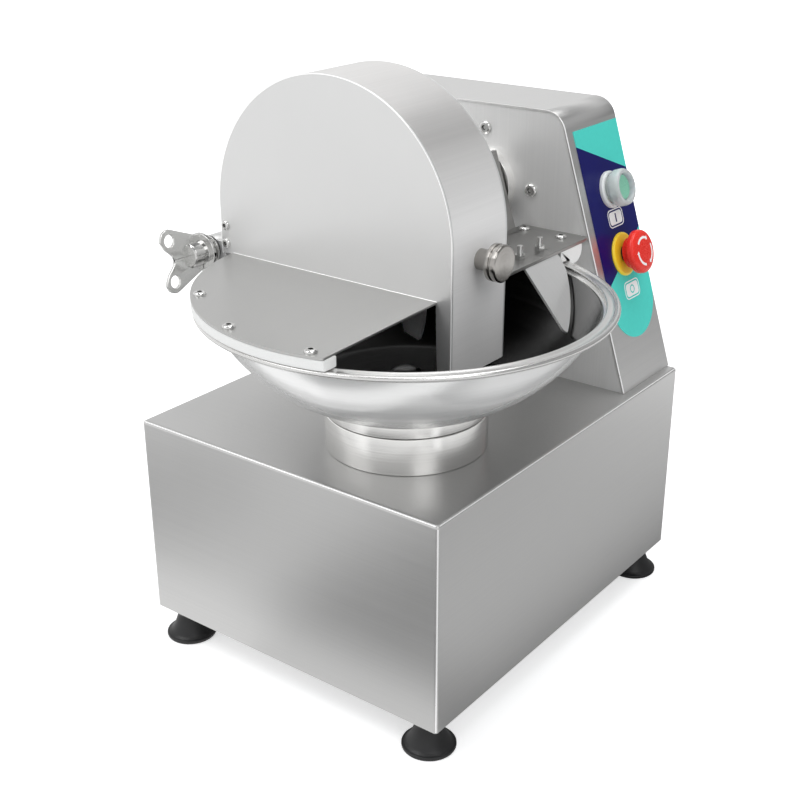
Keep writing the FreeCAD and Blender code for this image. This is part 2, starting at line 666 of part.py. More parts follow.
thread_sketch = drawn(worm, "XZ_Plane", "0", ((
    ("worm_radius - wheel_module - 0.5", "%s - %s - 0.6" % (THREAD_START, RIDGE_HALF)),
    ("worm_radius + wheel_module * 0.7", "%s - %s + 0.4" % (THREAD_START, RIDGE_HALF)),
    ("worm_radius + wheel_module * 0.7", "%s + %s - 0.4" % (THREAD_START, RIDGE_HALF)),
    ("worm_radius - wheel_module - 0.5", "%s + %s + 0.6" % (THREAD_START, RIDGE_HALF)),
),), ())
thread.Profile = thread_sketch
thread.ReferenceAxis = (thread_sketch, ["V_Axis"])
thread.Mode = 0
bind(thread, "Pitch", THREAD_PITCH)
bind(thread, "Height", THREAD_PITCH + " * 8")
PARTS.append(worm)
for start in ("-gear_half - gear_wall", "gear_half"):
    pad(bearings, "XZ_Plane", start, "gear_wall", rounds=(
        ("worm_x - bowl_x", "gear_z", "worm_shaft_radius * 2"),
        ("worm_x - bowl_x", "gear_z", "worm_shaft_radius + running_gap")))

# Cast gearbox hung under the deck, closed by a flat cover
gearbox = flat("gearbox_housing", "XY_Plane", "gear_under_z", "gear_over_z + gear_wall - gear_under_z",
               (box("gear_left - gear_wall", "bowl_y - gear_half - gear_wall",
                    "gear_right + gear_wall", "bowl_y + gear_half + gear_wall"),))
pad(gearbox, "XY_Plane", "gear_over_z + gear_wall", "deck_z - base_sheet - gear_over_z - gear_wall",
    rounds=(("bowl_x", "bowl_y", "bowl_bearing_radius + 8"),))
pocket(gearbox, "XY_Plane", "gear_under_z - 1", "gear_over_z - gear_under_z + 1",
       (box("gear_left", "bowl_y - gear_half", "gear_right", "bowl_y + gear_half"),))
pocket(gearbox, "XY_Plane", BOWL_BEARING_LOW, "deck_z - (%s)" % BOWL_BEARING_LOW,
       rounds=(("bowl_x", "bowl_y", "bowl_bearing_radius"),))
pocket(gearbox, "XY_Plane", "gear_z", "gear_over_z + gear_wall - gear_z + 1",
       rounds=(("bowl_x", "bowl_y", "bowl_shaft_radius + 2"),))
drilled(gearbox, "XZ_Plane", "bowl_y - gear_half - gear_wall - 1", "2 * (gear_half + gear_wall + 1)",
        (("worm_x", "gear_z", "worm_shaft_radius * 2"),))
flat("gearbox_cover", "XY_Plane", "gear_under_z - gear_wall", "gear_wall",
     (box("gear_left - gear_wall", "bowl_y - gear_half - gear_wall",
          "gear_right + gear_wall", "bowl_y + gear_half + gear_wall"),))


# Pulleys with a groove, and flat belts between them
def pulley_profile(bore, radius, middle):
    """A pulley's (radius, height) profile about the middle of its belt."""
    low = "(%s) - belt_width / 2" % middle
    high = "(%s) + belt_width / 2" % middle
    return (
        (bore, low + " - 2.5"),
        ("%s + belt_sheet / 2" % radius, low + " - 2.5"),
        ("%s + belt_sheet / 2" % radius, low + " - belt_gap"),
        ("%s - belt_sheet / 2 - belt_gap" % radius, low + " - belt_gap"),
        ("%s - belt_sheet / 2 - belt_gap" % radius, high + " + belt_gap"),
        ("%s + belt_sheet / 2" % radius, high + " + belt_gap"),
        ("%s + belt_sheet / 2" % radius, high + " + 2.5"),
        (bore, high + " + 2.5"),
    )


def belt_loop(label, first, first_radius, second, second_radius, middle_y):
    """A flat belt as a closed loop round two pulleys that turn about Y."""
    reach = second - first
    lean = math.asin((first_radius - second_radius) / reach.Length)
    heading = math.atan2(reach.z, reach.x)
    loops = []
    for offset in (size("belt_sheet") / 2, -size("belt_sheet") / 2):
        spots = []
        for side in (1, -1):
            angle = heading + side * (math.pi / 2 - lean)
            aim = Vector(math.cos(angle), 0, math.sin(angle))
            spots.append(first + aim * (first_radius + offset))
            spots.append(second + aim * (second_radius + offset))
        along = Vector(math.cos(heading), 0, math.sin(heading))
        tail = first - along * (first_radius + offset)
        nose = second + along * (second_radius + offset)
        edges = [
            Part.LineSegment(spots[0], spots[1]).toShape(),
            Part.Arc(spots[1], nose, spots[3]).toShape(),
            Part.LineSegment(spots[3], spots[2]).toShape(),
            Part.Arc(spots[2], tail, spots[0]).toShape(),
        ]
        loops.append(Part.Face(Part.Wire(edges)).extrude(Vector(0, size("belt_width"), 0)))
    belt = loops[0].cut(loops[1])
    belt.translate(Vector(0, middle_y - size("belt_width") / 2, 0))
    return fused(label, belt)


turned("worm_pulley", pulley_profile("worm_shaft_radius", "worm_pulley_radius", "bowl_belt_y - bowl_y"),
       WORM_AT, ALONG_Y)
MOTOR_AT = ("motor_x", "0", "motor_z")
belt_loop("bowl_belt",
          Vector(size("worm_x"), 0, size("gear_z")), size("worm_pulley_radius"),
          Vector(size("motor_x"), 0, size("motor_z")), size("bowl_pulley_radius"),
          size("bowl_belt_y"))
belt_loop("knife_belt",
          Vector(size("motor_x"), 0, size("motor_z")), size("drive_pulley_radius"),
          Vector(size("spindle_x"), 0, size("spindle_z")), size("knife_pulley_radius"),
          size("knife_belt_y"))

# Motor: ribbed casing with a cast foot, double-ended rotor shaft with a pulley at each end
ROTOR_RADIUS = "(motor_radius * 0.55)"
motor = new_body("motor_casing", MOTOR_AT, ALONG_Y)
turn_profile(motor, (
    ("motor_shaft_radius + running_gap", "motor_y"),
    ("motor_radius * 0.8", "motor_y"),
    ("motor_radius * 0.9", "motor_y + 12"),
    ("motor_radius * 0.9", "motor_end_y - 12"),
    ("motor_radius * 0.8", "motor_end_y"),
    ("motor_shaft_radius + running_gap", "motor_end_y"),
    ("motor_shaft_radius + running_gap", "motor_end_y - 15"),
    (ROTOR_RADIUS + " + 0.6", "motor_end_y - 15"),
    (ROTOR_RADIUS + " + 0.6", "motor_y + 15"),
    ("motor_shaft_radius + running_gap", "motor_y + 15"),
))
pad(motor, "XY_Plane", "motor_y + 30", "motor_length - 60",
    (box("-motor_radius * 0.8", "motor_radius * 0.62", "motor_radius * 0.8", "motor_rise"),))
RIBS = 24
rib = pad(motor, "XY_Plane", "motor_y + 14", "motor_length - 28",
          (box("motor_radius * 0.88", "-1.2", "motor_radius", "1.2"),))
ribs = motor.newObject("PartDesign::PolarPattern", "Ribs")
ribs.Originals = [rib]
ribs.Axis = (rib.Profile[0], ["N_Axis"])
ribs.Angle = 360
ribs.Occurrences = RIBS
motor.Tip = ribs
PARTS.append(motor)
rotor = turned("motor_rotor", (
    ("0", "bowl_belt_y - belt_width"),
    ("motor_shaft_radius", "bowl_belt_y - belt_width"),
    ("motor_shaft_radius", "motor_y + 18"),
    (ROTOR_RADIUS, "motor_y + 18"),
    (ROTOR_RADIUS, "motor_end_y - 18"),
    ("motor_shaft_radius", "motor_end_y - 18"),
    ("motor_shaft_radius", "knife_belt_y + belt_width"),
    ("0", "knife_belt_y + belt_width"),
), MOTOR_AT, ALONG_Y)
motor_pulleys = new_body("motor_pulleys", MOTOR_AT, ALONG_Y)
turn_profile(motor_pulleys, pulley_profile("motor_shaft_radius", "drive_pulley_radius", "knife_belt_y"))
turn_profile(motor_pulleys, pulley_profile("motor_shaft_radius", "bowl_pulley_radius", "bowl_belt_y"))
PARTS.append(motor_pulleys)

# Run capacitor on the bottom plate, and the motor contactor on the deck inside the tower
CAPACITOR_RADIUS = "18"
turned("run_capacitor", (
    ("0", "0"), (CAPACITOR_RADIUS, "0"), (CAPACITOR_RADIUS, "78"), ("10", "80"), ("0", "80"),
), ("motor_x + motor_radius + 20", "back_y - 75", "floor_z + " + CAPACITOR_RADIUS), TOWARDS_RIGHT)
flat("contactor", "XY_Plane", "deck_z", "62",
     (box("spindle_x + 65", "back_y - 50", "spindle_x + 110", "back_y - 15"),))

# Cable gland in the back wall, empty
gland = turned("cable_gland", (
    ("4.5", "-10"), ("8", "-10"), ("8", "0"), ("12", "0"), ("12", "7"), ("9.5", "8"), ("9.5", "13"),
    ("6.5", "17"), ("4.5", "17"),
), (GLAND_X, "back_y", GLAND_Z), ALONG_Y)

# Spindle housing: flange behind the front panel, boss in it, neck forward to the hood
SPINDLE_AT = ("spindle_x", "0", "spindle_z")
NECK_FRONT = "(hood_back_y + 6)"
FLANGE_Y = "(panel_y + panel_sheet)"
HOUSING_END = "(%s + flange_sheet + 20)" % FLANGE_Y
housing = turned("spindle_housing", (
    ("bearing_radius", NECK_FRONT),
    ("neck_radius", NECK_FRONT),
    ("neck_radius", "panel_y - boss_length"),
    ("boss_radius", "panel_y - boss_length"),
    ("boss_radius", FLANGE_Y),
    ("flange_radius", FLANGE_Y),
    ("flange_radius", FLANGE_Y + " + flange_sheet"),
    ("boss_radius", FLANGE_Y + " + flange_sheet"),
    ("boss_radius", HOUSING_END),
    ("bearing_radius", HOUSING_END),
    ("bearing_radius", HOUSING_END + " - bearing_width"),
    ("spindle_radius + 4", HOUSING_END + " - bearing_width"),
    ("spindle_radius + 4", NECK_FRONT + " + bearing_width + 2"),
    ("bearing_radius", NECK_FRONT + " + bearing_width + 2"),
), SPINDLE_AT, ALONG_Y)
flange_spots = []
for across, up in ((0, 1), (1, 0), (0, -1), (-1, 0)):
    flange_spots.append(("spindle_x + flange_bolt_circle * %d" % across,
                         "spindle_z + flange_bolt_circle * %d" % up))
FLANGE_SCREW = 3
drilled(front_panel, "XZ_Plane", "panel_y - 1", "panel_sheet + 2",
        [(x, z, "%d" % FLANGE_SCREW) for x, z in flange_spots])
drilled(housing, "XY_Plane", FLANGE_Y + " - 1", "flange_sheet + 2",
        [(x + " - spindle_x", "-(%s - spindle_z)" % z, "%d" % FLANGE_SCREW) for x, z in flange_spots])
housing_screws += placed(button_screw(6.3, FLANGE_SCREW, 10),
                         [Placement(Vector(number(x), size("panel_y"), number(z)), TOWARDS_FRONT)
                          for x, z in flange_spots])
spindle_bearings = new_body("spindle_bearings", SPINDLE_AT, ALONG_Y)
for start in (NECK_FRONT + " + 2", HOUSING_END + " - bearing_width"):
    turn_profile(spindle_bearings, box("spindle_radius + running_gap", start, "bearing_radius",
                                       start + " + bearing_width"))
PARTS.append(spindle_bearings)

# Knife spindle, three sickle knives between spacers, and the clamping nut
KNIVES = 3
STACK_FRONT = "(hub_back_y - %d * knife_pitch)" % KNIVES
turned("knife_spindle", (
    ("0", STACK_FRONT + " - 12"),
    ("spindle_radius - 1", STACK_FRONT + " - 12"),
    ("spindle_radius - 1", "hub_back_y"),
    ("knife_hub", "hub_back_y"),
    ("knife_hub", "hub_back_y + 6"),
    ("spindle_radius", "hub_back_y + 8"),
    ("spindle_radius", "knife_belt_y + belt_width"),
    ("0", "knife_belt_y + belt_width"),
), SPINDLE_AT, ALONG_Y)
BLADE_ROOT = "(knife_hub * 1.25)"
TIP = 20
knife_outline = (
    ("0", BLADE_ROOT, "knife_radius * 0.7", "right"),
    ("knife_radius * cos(%d)" % TIP, "-knife_radius * sin(%d)" % TIP),
    ("knife_radius * 0.88 * cos(%d)" % (TIP + 5), "-knife_radius * 0.88 * sin(%d)" % (TIP + 5),
     "knife_radius * 0.8", "left"),
    ("knife_hub * 0.9", "-knife_hub * 0.9", BLADE_ROOT, "right"),
    ("-%s" % BLADE_ROOT, "0", BLADE_ROOT, "right"),
)
FIRST_KNIFE = 150
for place in range(KNIVES):
    name = "knife_%d" % (place + 1)
    angle = FIRST_KNIFE + place * 360 / KNIVES
    about_spindle = Rotation(Vector(0, 1, 0), angle).multiply(TOWARDS_FRONT)
    seat = "hub_back_y - %d * knife_pitch" % place
    knife = new_body(name, ("spindle_x", seat, "spindle_z"), about_spindle)
    pad(knife, "XY_Plane", "0", "knife_sheet", (knife_outline,))
    drilled(knife, "XY_Plane", "-1", "knife_sheet + 2", (("0", "0", "spindle_radius - 1"),))
    PARTS.append(knife)
spacers = new_body("knife_spacers", SPINDLE_AT, ALONG_Y)
for place in range(KNIVES):
    start = "hub_back_y - %d * knife_pitch" % (place + 1)
    turn_profile(spacers, box("spindle_radius - 1", start,
                              "knife_hub", start + " + knife_pitch - knife_sheet"))
PARTS.append(spacers)
knife_nut = turned("knife_nut", (
    ("spindle_radius - 1", STACK_FRONT),
    ("knife_hub * 0.95", STACK_FRONT),
    ("knife_hub * 0.95", STACK_FRONT + " - 8"),
    ("knife_hub * 0.75", STACK_FRONT + " - 12"),
    ("spindle_radius - 1", STACK_FRONT + " - 12"),
), SPINDLE_AT, ALONG_Y)
turned("spindle_pulley", pulley_profile("spindle_radius", "knife_pulley_radius", "knife_belt_y"),
       SPINDLE_AT, ALONG_Y)


# Knife hood: a D-shaped drum of stainless sheet, open below
def hood_outline(inset, bottom, leg_x, leg_z):
    """The drum's front outline, drawn in by an inset, with a leg down the right side."""
    return (
        ("hood_left + (%s)" % inset, bottom),
        (leg_x, bottom),
        (leg_x, leg_z),
        ("hood_right - (%s)" % inset, leg_z),
        ("hood_right - (%s)" % inset, "arch_z", "hood_radius - (%s)" % inset, "left"),
        ("hood_left + (%s)" % inset, "arch_z"),
    )


hood = flat("hood_shell", "XZ_Plane", "hood_y", "hood_depth",
            (hood_outline("0", "skirt_under_z", "mouth_x", "rim_z - hood_dip"),))
pocket(hood, "XZ_Plane", "hood_y + hood_sheet", "hood_depth - 2 * hood_sheet",
       (hood_outline("hood_sheet", "skirt_under_z - 1", "mouth_x - 1", "rim_z - hood_dip - 1"),))
SLOT_HALF = "(spindle_radius + 9)"
pocket(hood, "XZ_Plane", "hood_back_y - hood_sheet - 1", "hood_sheet + 2", ((
    ("spindle_x - " + SLOT_HALF, "skirt_under_z - 1"),
    ("spindle_x + " + SLOT_HALF, "skirt_under_z - 1"),
    ("spindle_x + " + SLOT_HALF, "spindle_z", SLOT_HALF, "left"),
    ("spindle_x - " + SLOT_HALF, "spindle_z"),
),))
BRIDGE_HALF = "9"
FRONT_KNUCKLE = "(hood_y + hood_sheet)"
REAR_KNUCKLE = "(hood_back_y - hood_sheet - knuckle_depth)"
for start in (FRONT_KNUCKLE, REAR_KNUCKLE):
    pocket(hood, "XZ_Plane", start, "knuckle_depth",
           (box("hood_left - 1", "skirt_under_z - 1", "hood_left + hood_sheet + 1",
                "hinge_z + " + BRIDGE_HALF),))
HINGE_SCREWS = [("hood_left + 6", "skirt_z + 7.5"), ("hood_left + 6", "skirt_z + 23.5")]
drilled(hood, "XZ_Plane", "hood_y - 1", "hood_sheet + 2", [(x, z, "2.5") for x, z in HINGE_SCREWS])

# Skirt plate on the front of the hood, over the bowl
SKIRT_LEFT = "(bowl_x - sqrt(pow(skirt_radius; 2) - pow(hood_y - bowl_y; 2)))"
SKIRT_RIGHT = "(mouth_x + skirt_flare)"
SKIRT_FRONT = "(bowl_y - sqrt(pow(skirt_radius; 2) - pow(%s - bowl_x; 2)))" % SKIRT_RIGHT
skirt = flat("skirt_plate", "XY_Plane", "skirt_under_z", "skirt_sheet", ((
    (SKIRT_LEFT, "hood_y", "skirt_radius", "left"),
    (SKIRT_RIGHT, SKIRT_FRONT),
    ("mouth_x", "hood_y"),
),))


# White wiping strips under the skirt and under the rear bracket
def bowl_spot(radius, angle):
    """A point at a radius from the bowl axis and an angle in degrees."""
    return ("bowl_x + (%s) * cos(%s)" % (radius, angle), "bowl_y + (%s) * sin(%s)" % (radius, angle))


def cut_spot(radius, x, side):
    """The point at a radius from the bowl axis where a straight cut across X meets it."""
    return (x, "bowl_y + %d * sqrt(pow(%s; 2) - pow(%s - bowl_x; 2))" % (side, radius, x))


STRIP_LOW = "(rim_z + wipe_gap)"
STRIP_START = "(181 deg - asin((hood_y - bowl_y) / skirt_radius))"
STRIP_INNER = "(skirt_radius - strip_width)"
strip = flat("front_strip", "XY_Plane", STRIP_LOW, "skirt_under_z - %s" % STRIP_LOW, ((
    bowl_spot("skirt_radius", STRIP_START) + ("skirt_radius", "left"),
    cut_spot("skirt_radius", SKIRT_RIGHT, -1),
    cut_spot(STRIP_INNER, "(%s - 0.5)" % SKIRT_RIGHT, -1) + (STRIP_INNER, "right"),
    bowl_spot(STRIP_INNER, STRIP_START),
),))
SKIRT_SCREWS = []
for angle in (283, 254.5, 226):
    SKIRT_SCREWS.append(("bowl_x + (skirt_radius - strip_width * 0.6) * cos(%g)" % angle,
                         "bowl_y + (skirt_radius - strip_width * 0.6) * sin(%g)" % angle))
for piece, start, depth in ((skirt, "skirt_under_z - 1", "skirt_sheet + 2"),
                            (strip, STRIP_LOW + " + 2", "skirt_under_z - %s" % STRIP_LOW)):
    drilled(piece, "XY_Plane", start, depth, [(x, y, "2.5") for x, y in SKIRT_SCREWS])
hood_screws = placed(button_screw(5.2, 2.5, 8),
                     [Placement(Vector(number(x), number(y), size("skirt_z")), Rotation())
                      for x, y in SKIRT_SCREWS])

# Hinge knuckles of the hood, with the two screws that show in front
knuckles = new_body("hinge_knuckles")
KNUCKLE_TOP = "(skirt_z + 31)"
for start in (FRONT_KNUCKLE, REAR_KNUCKLE):
    pad(knuckles, "XZ_Plane", start, "knuckle_depth", (
        box("hinge_x", "hinge_z - " + BRIDGE_HALF, "hood_left + hood_sheet", "hinge_z + " + BRIDGE_HALF),))
    pad(knuckles, "XZ_Plane", start, "knuckle_depth", (
        box("hood_left + hood_sheet", "skirt_under_z", "hood_left + hood_sheet + 8", KNUCKLE_TOP),))
    pad(knuckles, "XZ_Plane", start, "knuckle_depth", rounds=(("hinge_x", "hinge_z", "eye_radius"),))
drilled(knuckles, "XZ_Plane", "hood_y", "hood_depth",
        (("hinge_x", "hinge_z", "hinge_radius + running_gap"),))
drilled(knuckles, "XZ_Plane", FRONT_KNUCKLE + " - 1", "14", [(x, z, "2.5") for x, z in HINGE_SCREWS])
PARTS.append(knuckles)
hood_screws += placed(button_screw(4.4, 2.5, 12),
                      [Placement(Vector(number(x), size("hood_y"), number(z)), TOWARDS_FRONT)
                       for x, z in HINGE_SCREWS])
fused("hood_screws", Part.makeCompound(hood_screws))

# Lifting knob on the right wall of the hood
KNOB_Y = "(hood_y + hood_depth / 2)"
KNOB_Z = "(arch_z - knob_drop)"
drilled(hood, "YZ_Plane", "hood_right - hood_sheet - 1", "hood_sheet + 2", ((KNOB_Y, KNOB_Z, "4"),))
turned("lifting_knob", (
    ("0", "-6"), ("4", "-6"), ("4", "0"), ("knob_stem", "0"), ("knob_stem", "knob_reach * 0.46"),
    ("knob_radius - 1", "knob_reach * 0.46"), ("knob_radius", "knob_reach * 0.5"),
    ("knob_radius", "knob_reach * 0.68"), ("knob_radius - 1.2", "knob_reach * 0.71"),
    ("knob_radius - 1.2", "knob_reach * 0.75"), ("knob_radius", "knob_reach * 0.78"),
    ("knob_radius", "knob_reach - 1"), ("knob_radius - 1", "knob_reach"), ("0", "knob_reach"),
), ("hood_right", KNOB_Y, KNOB_Z), TOWARDS_RIGHT)

# Hinge rod, its bracket on the tower, washers and wing nut
HINGE_AT = ("hinge_x", "0", "hinge_z")
WASHER = "2"
WASHER_Y = "(hood_y + hood_sheet - 0.2 - 2 * %s)" % WASHER
WING_LENGTH = "24"
WING_Y = "(%s - 0.2 - %s)" % (WASHER_Y, WING_LENGTH)
BRACKET_DEPTH = "12"
turned("hinge_rod", (
    ("0", WING_Y + " + 2"), ("hinge_radius", WING_Y + " + 2"),
    ("hinge_radius", "panel_y"), ("0", "panel_y"),
), HINGE_AT, ALONG_Y)
arm = flat("hinge_bracket", "XZ_Plane", "tower_y - " + BRACKET_DEPTH, BRACKET_DEPTH, ((
    ("hinge_x", "hinge_z - 20"),
    ("hinge_x + 88", "hinge_z - 26"),
    ("hinge_x + 88", "hinge_z + 26"),
    ("hinge_x", "hinge_z + 20", "20", "left"),
),))
pad(arm, "XZ_Plane", "tower_y", "panel_recess",
    (box("hinge_x", "hinge_z - 18", "hinge_x + 86", "hinge_z + 18"),))
drilled(arm, "XZ_Plane", "panel_y - 20", "22", (("hinge_x", "hinge_z", "hinge_radius"),))
ARM_BOLTS = [("hinge_x + 74", "hinge_z - 14"), ("hinge_x + 74", "hinge_z + 14")]
for piece in (arm, front_panel):
    drilled(piece, "XZ_Plane", "panel_y - 20", "24", [(x, z, "4") for x, z in ARM_BOLTS])
washers = new_body("hinge_washers", HINGE_AT, ALONG_Y)
for start, radius in ((WASHER_Y, "eye_radius + 1"), (WASHER_Y + " + " + WASHER + " + 0.1", "eye_radius")):
    turn_profile(washers, box("hinge_radius + running_gap", start, radius, start + " + %s - 0.1" % WASHER))
PARTS.append(washers)

# Wing nut: flanged barrel, and a plate through its axis with two round lobes, each with a hole
WING_SHEET = 3
LOBE_RADIUS = 10
LOBE_REACH = 17.8
LOBE_AHEAD = 19
EYE_OF_LOBE = 5.5
wing_y = number(WING_Y)
towards_hood = Vector(0, 1, 0)
barrel = Part.makeCylinder(size("eye_radius") - 1, float(WING_LENGTH), Vector(), towards_hood)
barrel = barrel.fuse(Part.makeCylinder(size("eye_radius") + 5, 3.5, Vector(0, 15, 0), towards_hood))
bore = Part.makeCylinder(size("hinge_radius") + size("running_gap"), float(WING_LENGTH) - 2,
                         Vector(0, 2, 0), towards_hood)
flare = math.atan2(LOBE_REACH - size("eye_radius"), LOBE_AHEAD + 15)
side_on = Vector(0, math.sin(flare), math.cos(flare)) * LOBE_RADIUS
lobe_centre = Vector(0, -LOBE_AHEAD, LOBE_REACH)
outer_end = lobe_centre + side_on
nose = lobe_centre + Vector(0, -LOBE_RADIUS, 0)
root = Vector(0, 15, size("eye_radius") + 3)
half_plate = Part.Face(Part.Wire([
    Part.LineSegment(Vector(0, 15, 0), root).toShape(),
    Part.LineSegment(root, outer_end).toShape(),
    Part.Arc(outer_end, lobe_centre + Vector(0, -1, 1).normalize() * LOBE_RADIUS, nose).toShape(),
    Part.Arc(nose, Vector(0, 1.5 - LOBE_AHEAD, LOBE_REACH * 0.3), Vector(0, 3 - LOBE_AHEAD, 0)).toShape(),
    Part.LineSegment(Vector(0, 3 - LOBE_AHEAD, 0), Vector(0, 15, 0)).toShape(),
]))
upper = half_plate.extrude(Vector(WING_SHEET, 0, 0))
upper.translate(Vector(-WING_SHEET / 2, 0, 0))
lower = upper.mirror(Vector(), Vector(0, 0, 1))
wing = barrel.fuse([upper, lower]).removeSplitter()
for side in (1, -1):
    wing = wing.cut(Part.makeCylinder(EYE_OF_LOBE, WING_SHEET * 2,
                                      Vector(-WING_SHEET, -LOBE_AHEAD, side * LOBE_REACH), Vector(1, 0, 0)))
wing_nut = fused("wing_nut", wing.cut(bore))
wing_nut.Placement = Placement(Vector(size("hinge_x"), wing_y, size("hinge_z")),
                               Rotation(Vector(0, 1, 0), -7))

# Rear bracket: flat plate with an upright web, bolted to the front panel of the tower
WEB_TOP_X = "(bracket_x - web_lean)"
WEB_TOP_Z = "(bracket_z + web_height)"
WEB_THICK = "(bracket_sheet * sqrt(pow(web_height; 2) + pow(web_lean; 2)) / web_height)"
WEB_END_Y = "(panel_y - boss_length - 2)"
bracket = flat("rear_bracket", "XZ_Plane", "bracket_front_y", WEB_END_Y + " - bracket_front_y", ((
    ("bracket_x - %s" % WEB_THICK, "bracket_z - bracket_sheet"),
    ("bracket_edge_x", "bracket_z - bracket_sheet"),
    ("bracket_edge_x", "bracket_z"),
    ("bracket_x", "bracket_z"),
    (WEB_TOP_X, WEB_TOP_Z),
    ("%s - %s" % (WEB_TOP_X, WEB_THICK), WEB_TOP_Z),
    ("bracket_x - %s" % WEB_THICK, "bracket_z"),
),))
pad(bracket, "XZ_Plane", WEB_END_Y, "tower_y - " + WEB_END_Y,
    (box("bracket_x", "bracket_z - bracket_sheet", "bracket_edge_x", "bracket_z"),))
pad(bracket, "XZ_Plane", "tower_y - 2", "panel_recess + 2",
    (box("bracket_x", "bracket_z - bracket_sheet", "bracket_edge_x - 8", "bracket_z"),))
FLANGE_DROP = "36"
pad(bracket, "XZ_Plane", "panel_y - bracket_sheet", "bracket_sheet",
    (box("bracket_x", "bracket_z - " + FLANGE_DROP, "bracket_edge_x - 20", "bracket_z - bracket_sheet"),))
BRACKET_BOLTS = [("bracket_x + 14", "bracket_z - 27"), ("bracket_x + 38", "bracket_z - 27")]
for piece in (bracket, front_panel):
    drilled(piece, "XZ_Plane", "panel_y - 20", "24", [(x, z, "3") for x, z in BRACKET_BOLTS])
bolt_places = [Placement(Vector(number(x), number("panel_y - bracket_sheet"), number(z)), TOWARDS_FRONT)
               for x, z in BRACKET_BOLTS]
housing_screws += placed(button_screw(5.5, 3, 10), bolt_places)
arm_places = [Placement(Vector(number(x), number("tower_y - " + BRACKET_DEPTH), number(z)), TOWARDS_FRONT)
              for x, z in ARM_BOLTS]
housing_screws += placed(button_screw(7, 4, 18), arm_places)
fused("housing_screws", Part.makeCompound(housing_screws))

# White block under the rear bracket, which hangs down outside the rim, and its two low screws
REAR_STRIP_TOP = "(bracket_z - bracket_sheet)"
GUARD_OUTER = "(panel_y - bowl_y - guard_gap)"
GUARD_LIP = "(rim_radius + (%s - rim_radius) * 0.12)" % GUARD_OUTER
GUARD_LOW = "(bracket_z - guard_drop)"


def guard_band(inner):
    """The block's outline from an inner radius, cut straight along the bracket's edge."""
    return (
        cut_spot(GUARD_OUTER, "bracket_edge_x", 1) + (GUARD_OUTER, "left"),
        bowl_spot(GUARD_OUTER, "93"),
        bowl_spot(inner, "93") + (inner, "right"),
        cut_spot(inner, "bracket_edge_x", 1),
    )


rear_strip = flat("rear_strip", "XY_Plane", STRIP_LOW, "%s - %s" % (REAR_STRIP_TOP, STRIP_LOW),
                  (guard_band(STRIP_INNER),))
pad(rear_strip, "XY_Plane", GUARD_LOW, "%s - %s" % (STRIP_LOW, GUARD_LOW), (guard_band(GUARD_LIP),))
STRIP_SCREWS = [bowl_spot("(%s - 9)" % GUARD_OUTER, "91.4"), bowl_spot("(%s - 9)" % GUARD_OUTER, "78.8")]
for piece, start, depth in ((bracket, "bracket_z - bracket_sheet - 1", "bracket_sheet + 2"),
                            (rear_strip, STRIP_LOW + " + 2", "20")):
    drilled(piece, "XY_Plane", start, depth, [(x, y, "2.5") for x, y in STRIP_SCREWS])
bracket_screws = placed(button_screw(5.2, 2.5, 8),
                        [Placement(Vector(number(x), number(y), size("bracket_z")), Rotation())
                         for x, y in STRIP_SCREWS])

# Scraper blade: flange under the bracket, blade down into the bowl
FLANGE_START = "(bowl_y + scraper_front + 2)"
FLANGE_END = ("(bowl_y + sqrt(pow(skirt_radius - strip_width - scraper_shy; 2)"
              " - pow(bracket_edge_x - bowl_x; 2)))")
FLANGE_TOP = "(bracket_z - bracket_sheet)"
flange_sheet = Part.makeBox(size("scraper_flange"), number(FLANGE_END) - number(FLANGE_START),
                            size("scraper_sheet"),
                            Vector(number("bracket_edge_x - scraper_flange"), number(FLANGE_START),
                                   number(FLANGE_TOP + " - scraper_sheet")))
lean_angle = math.radians(size("scraper_lean"))
down = Vector(math.sin(lean_angle), 0, -math.cos(lean_angle)) * size("scraper_blade")
inward = Vector(-math.cos(lean_angle), 0, -math.sin(lean_angle)) * size("scraper_sheet")
blade_root = Vector(size("bracket_edge_x"), number(FLANGE_START) - 2, number(FLANGE_TOP))
blade_rear = Vector(size("bracket_edge_x"), number(FLANGE_END), number(FLANGE_TOP))
front_foot = blade_root + down - Vector(0, size("scraper_slant"), 0)
rear_foot = blade_rear + down
along_front = (front_foot - blade_root).normalize()
along_foot = Vector(0, 1, 0)
half_corner = (along_front.getAngle(along_foot * -1)) / 2
setback = size("scraper_tip") / math.tan(half_corner)
corner_aim = (along_foot - along_front).normalize()
corner_centre = front_foot + corner_aim * (size("scraper_tip") / math.sin(half_corner))
round_start = front_foot - along_front * setback
round_end = front_foot + along_foot * setback
blade = Part.Face(Part.Wire([
    Part.LineSegment(blade_root, round_start).toShape(),
    Part.Arc(round_start, corner_centre - corner_aim * size("scraper_tip"), round_end).toShape(),
    Part.LineSegment(round_end, rear_foot).toShape(),
    Part.LineSegment(rear_foot, blade_rear).toShape(),
    Part.LineSegment(blade_rear, blade_root).toShape(),
])).extrude(inward)
cavity_corners = []
clear_sheet = size("bowl_sheet") + size("scraper_gap")
steps = 24
low_z = size("bowl_floor_z") + size("scraper_gap")
for step in range(steps + 1):
    height = low_z + (size("rim_z") - 1 - low_z) * step / steps
    reach = size("wall_mid_x") + math.sqrt((size("wall_bend") - clear_sheet) ** 2
                                           - (size("wall_mid_z") - height) ** 2)
    cavity_corners.append(Vector(reach, 0, height))
cavity_corners.append(Vector(cavity_corners[-1].x, 0, size("rim_z") + 20))
profile = [Vector(0, 0, low_z)] + cavity_corners + [Vector(0, 0, size("rim_z") + 20), Vector(0, 0, low_z)]
cavity = Part.Face(Part.makePolygon(profile)).revolve(Vector(), Vector(0, 0, 1), 360)
cavity.translate(Vector(size("bowl_x"), size("bowl_y"), 0))
scraper_shape = flange_sheet.fuse(blade.common(cavity)).removeSplitter()
SCRAPER_BOLTS = []
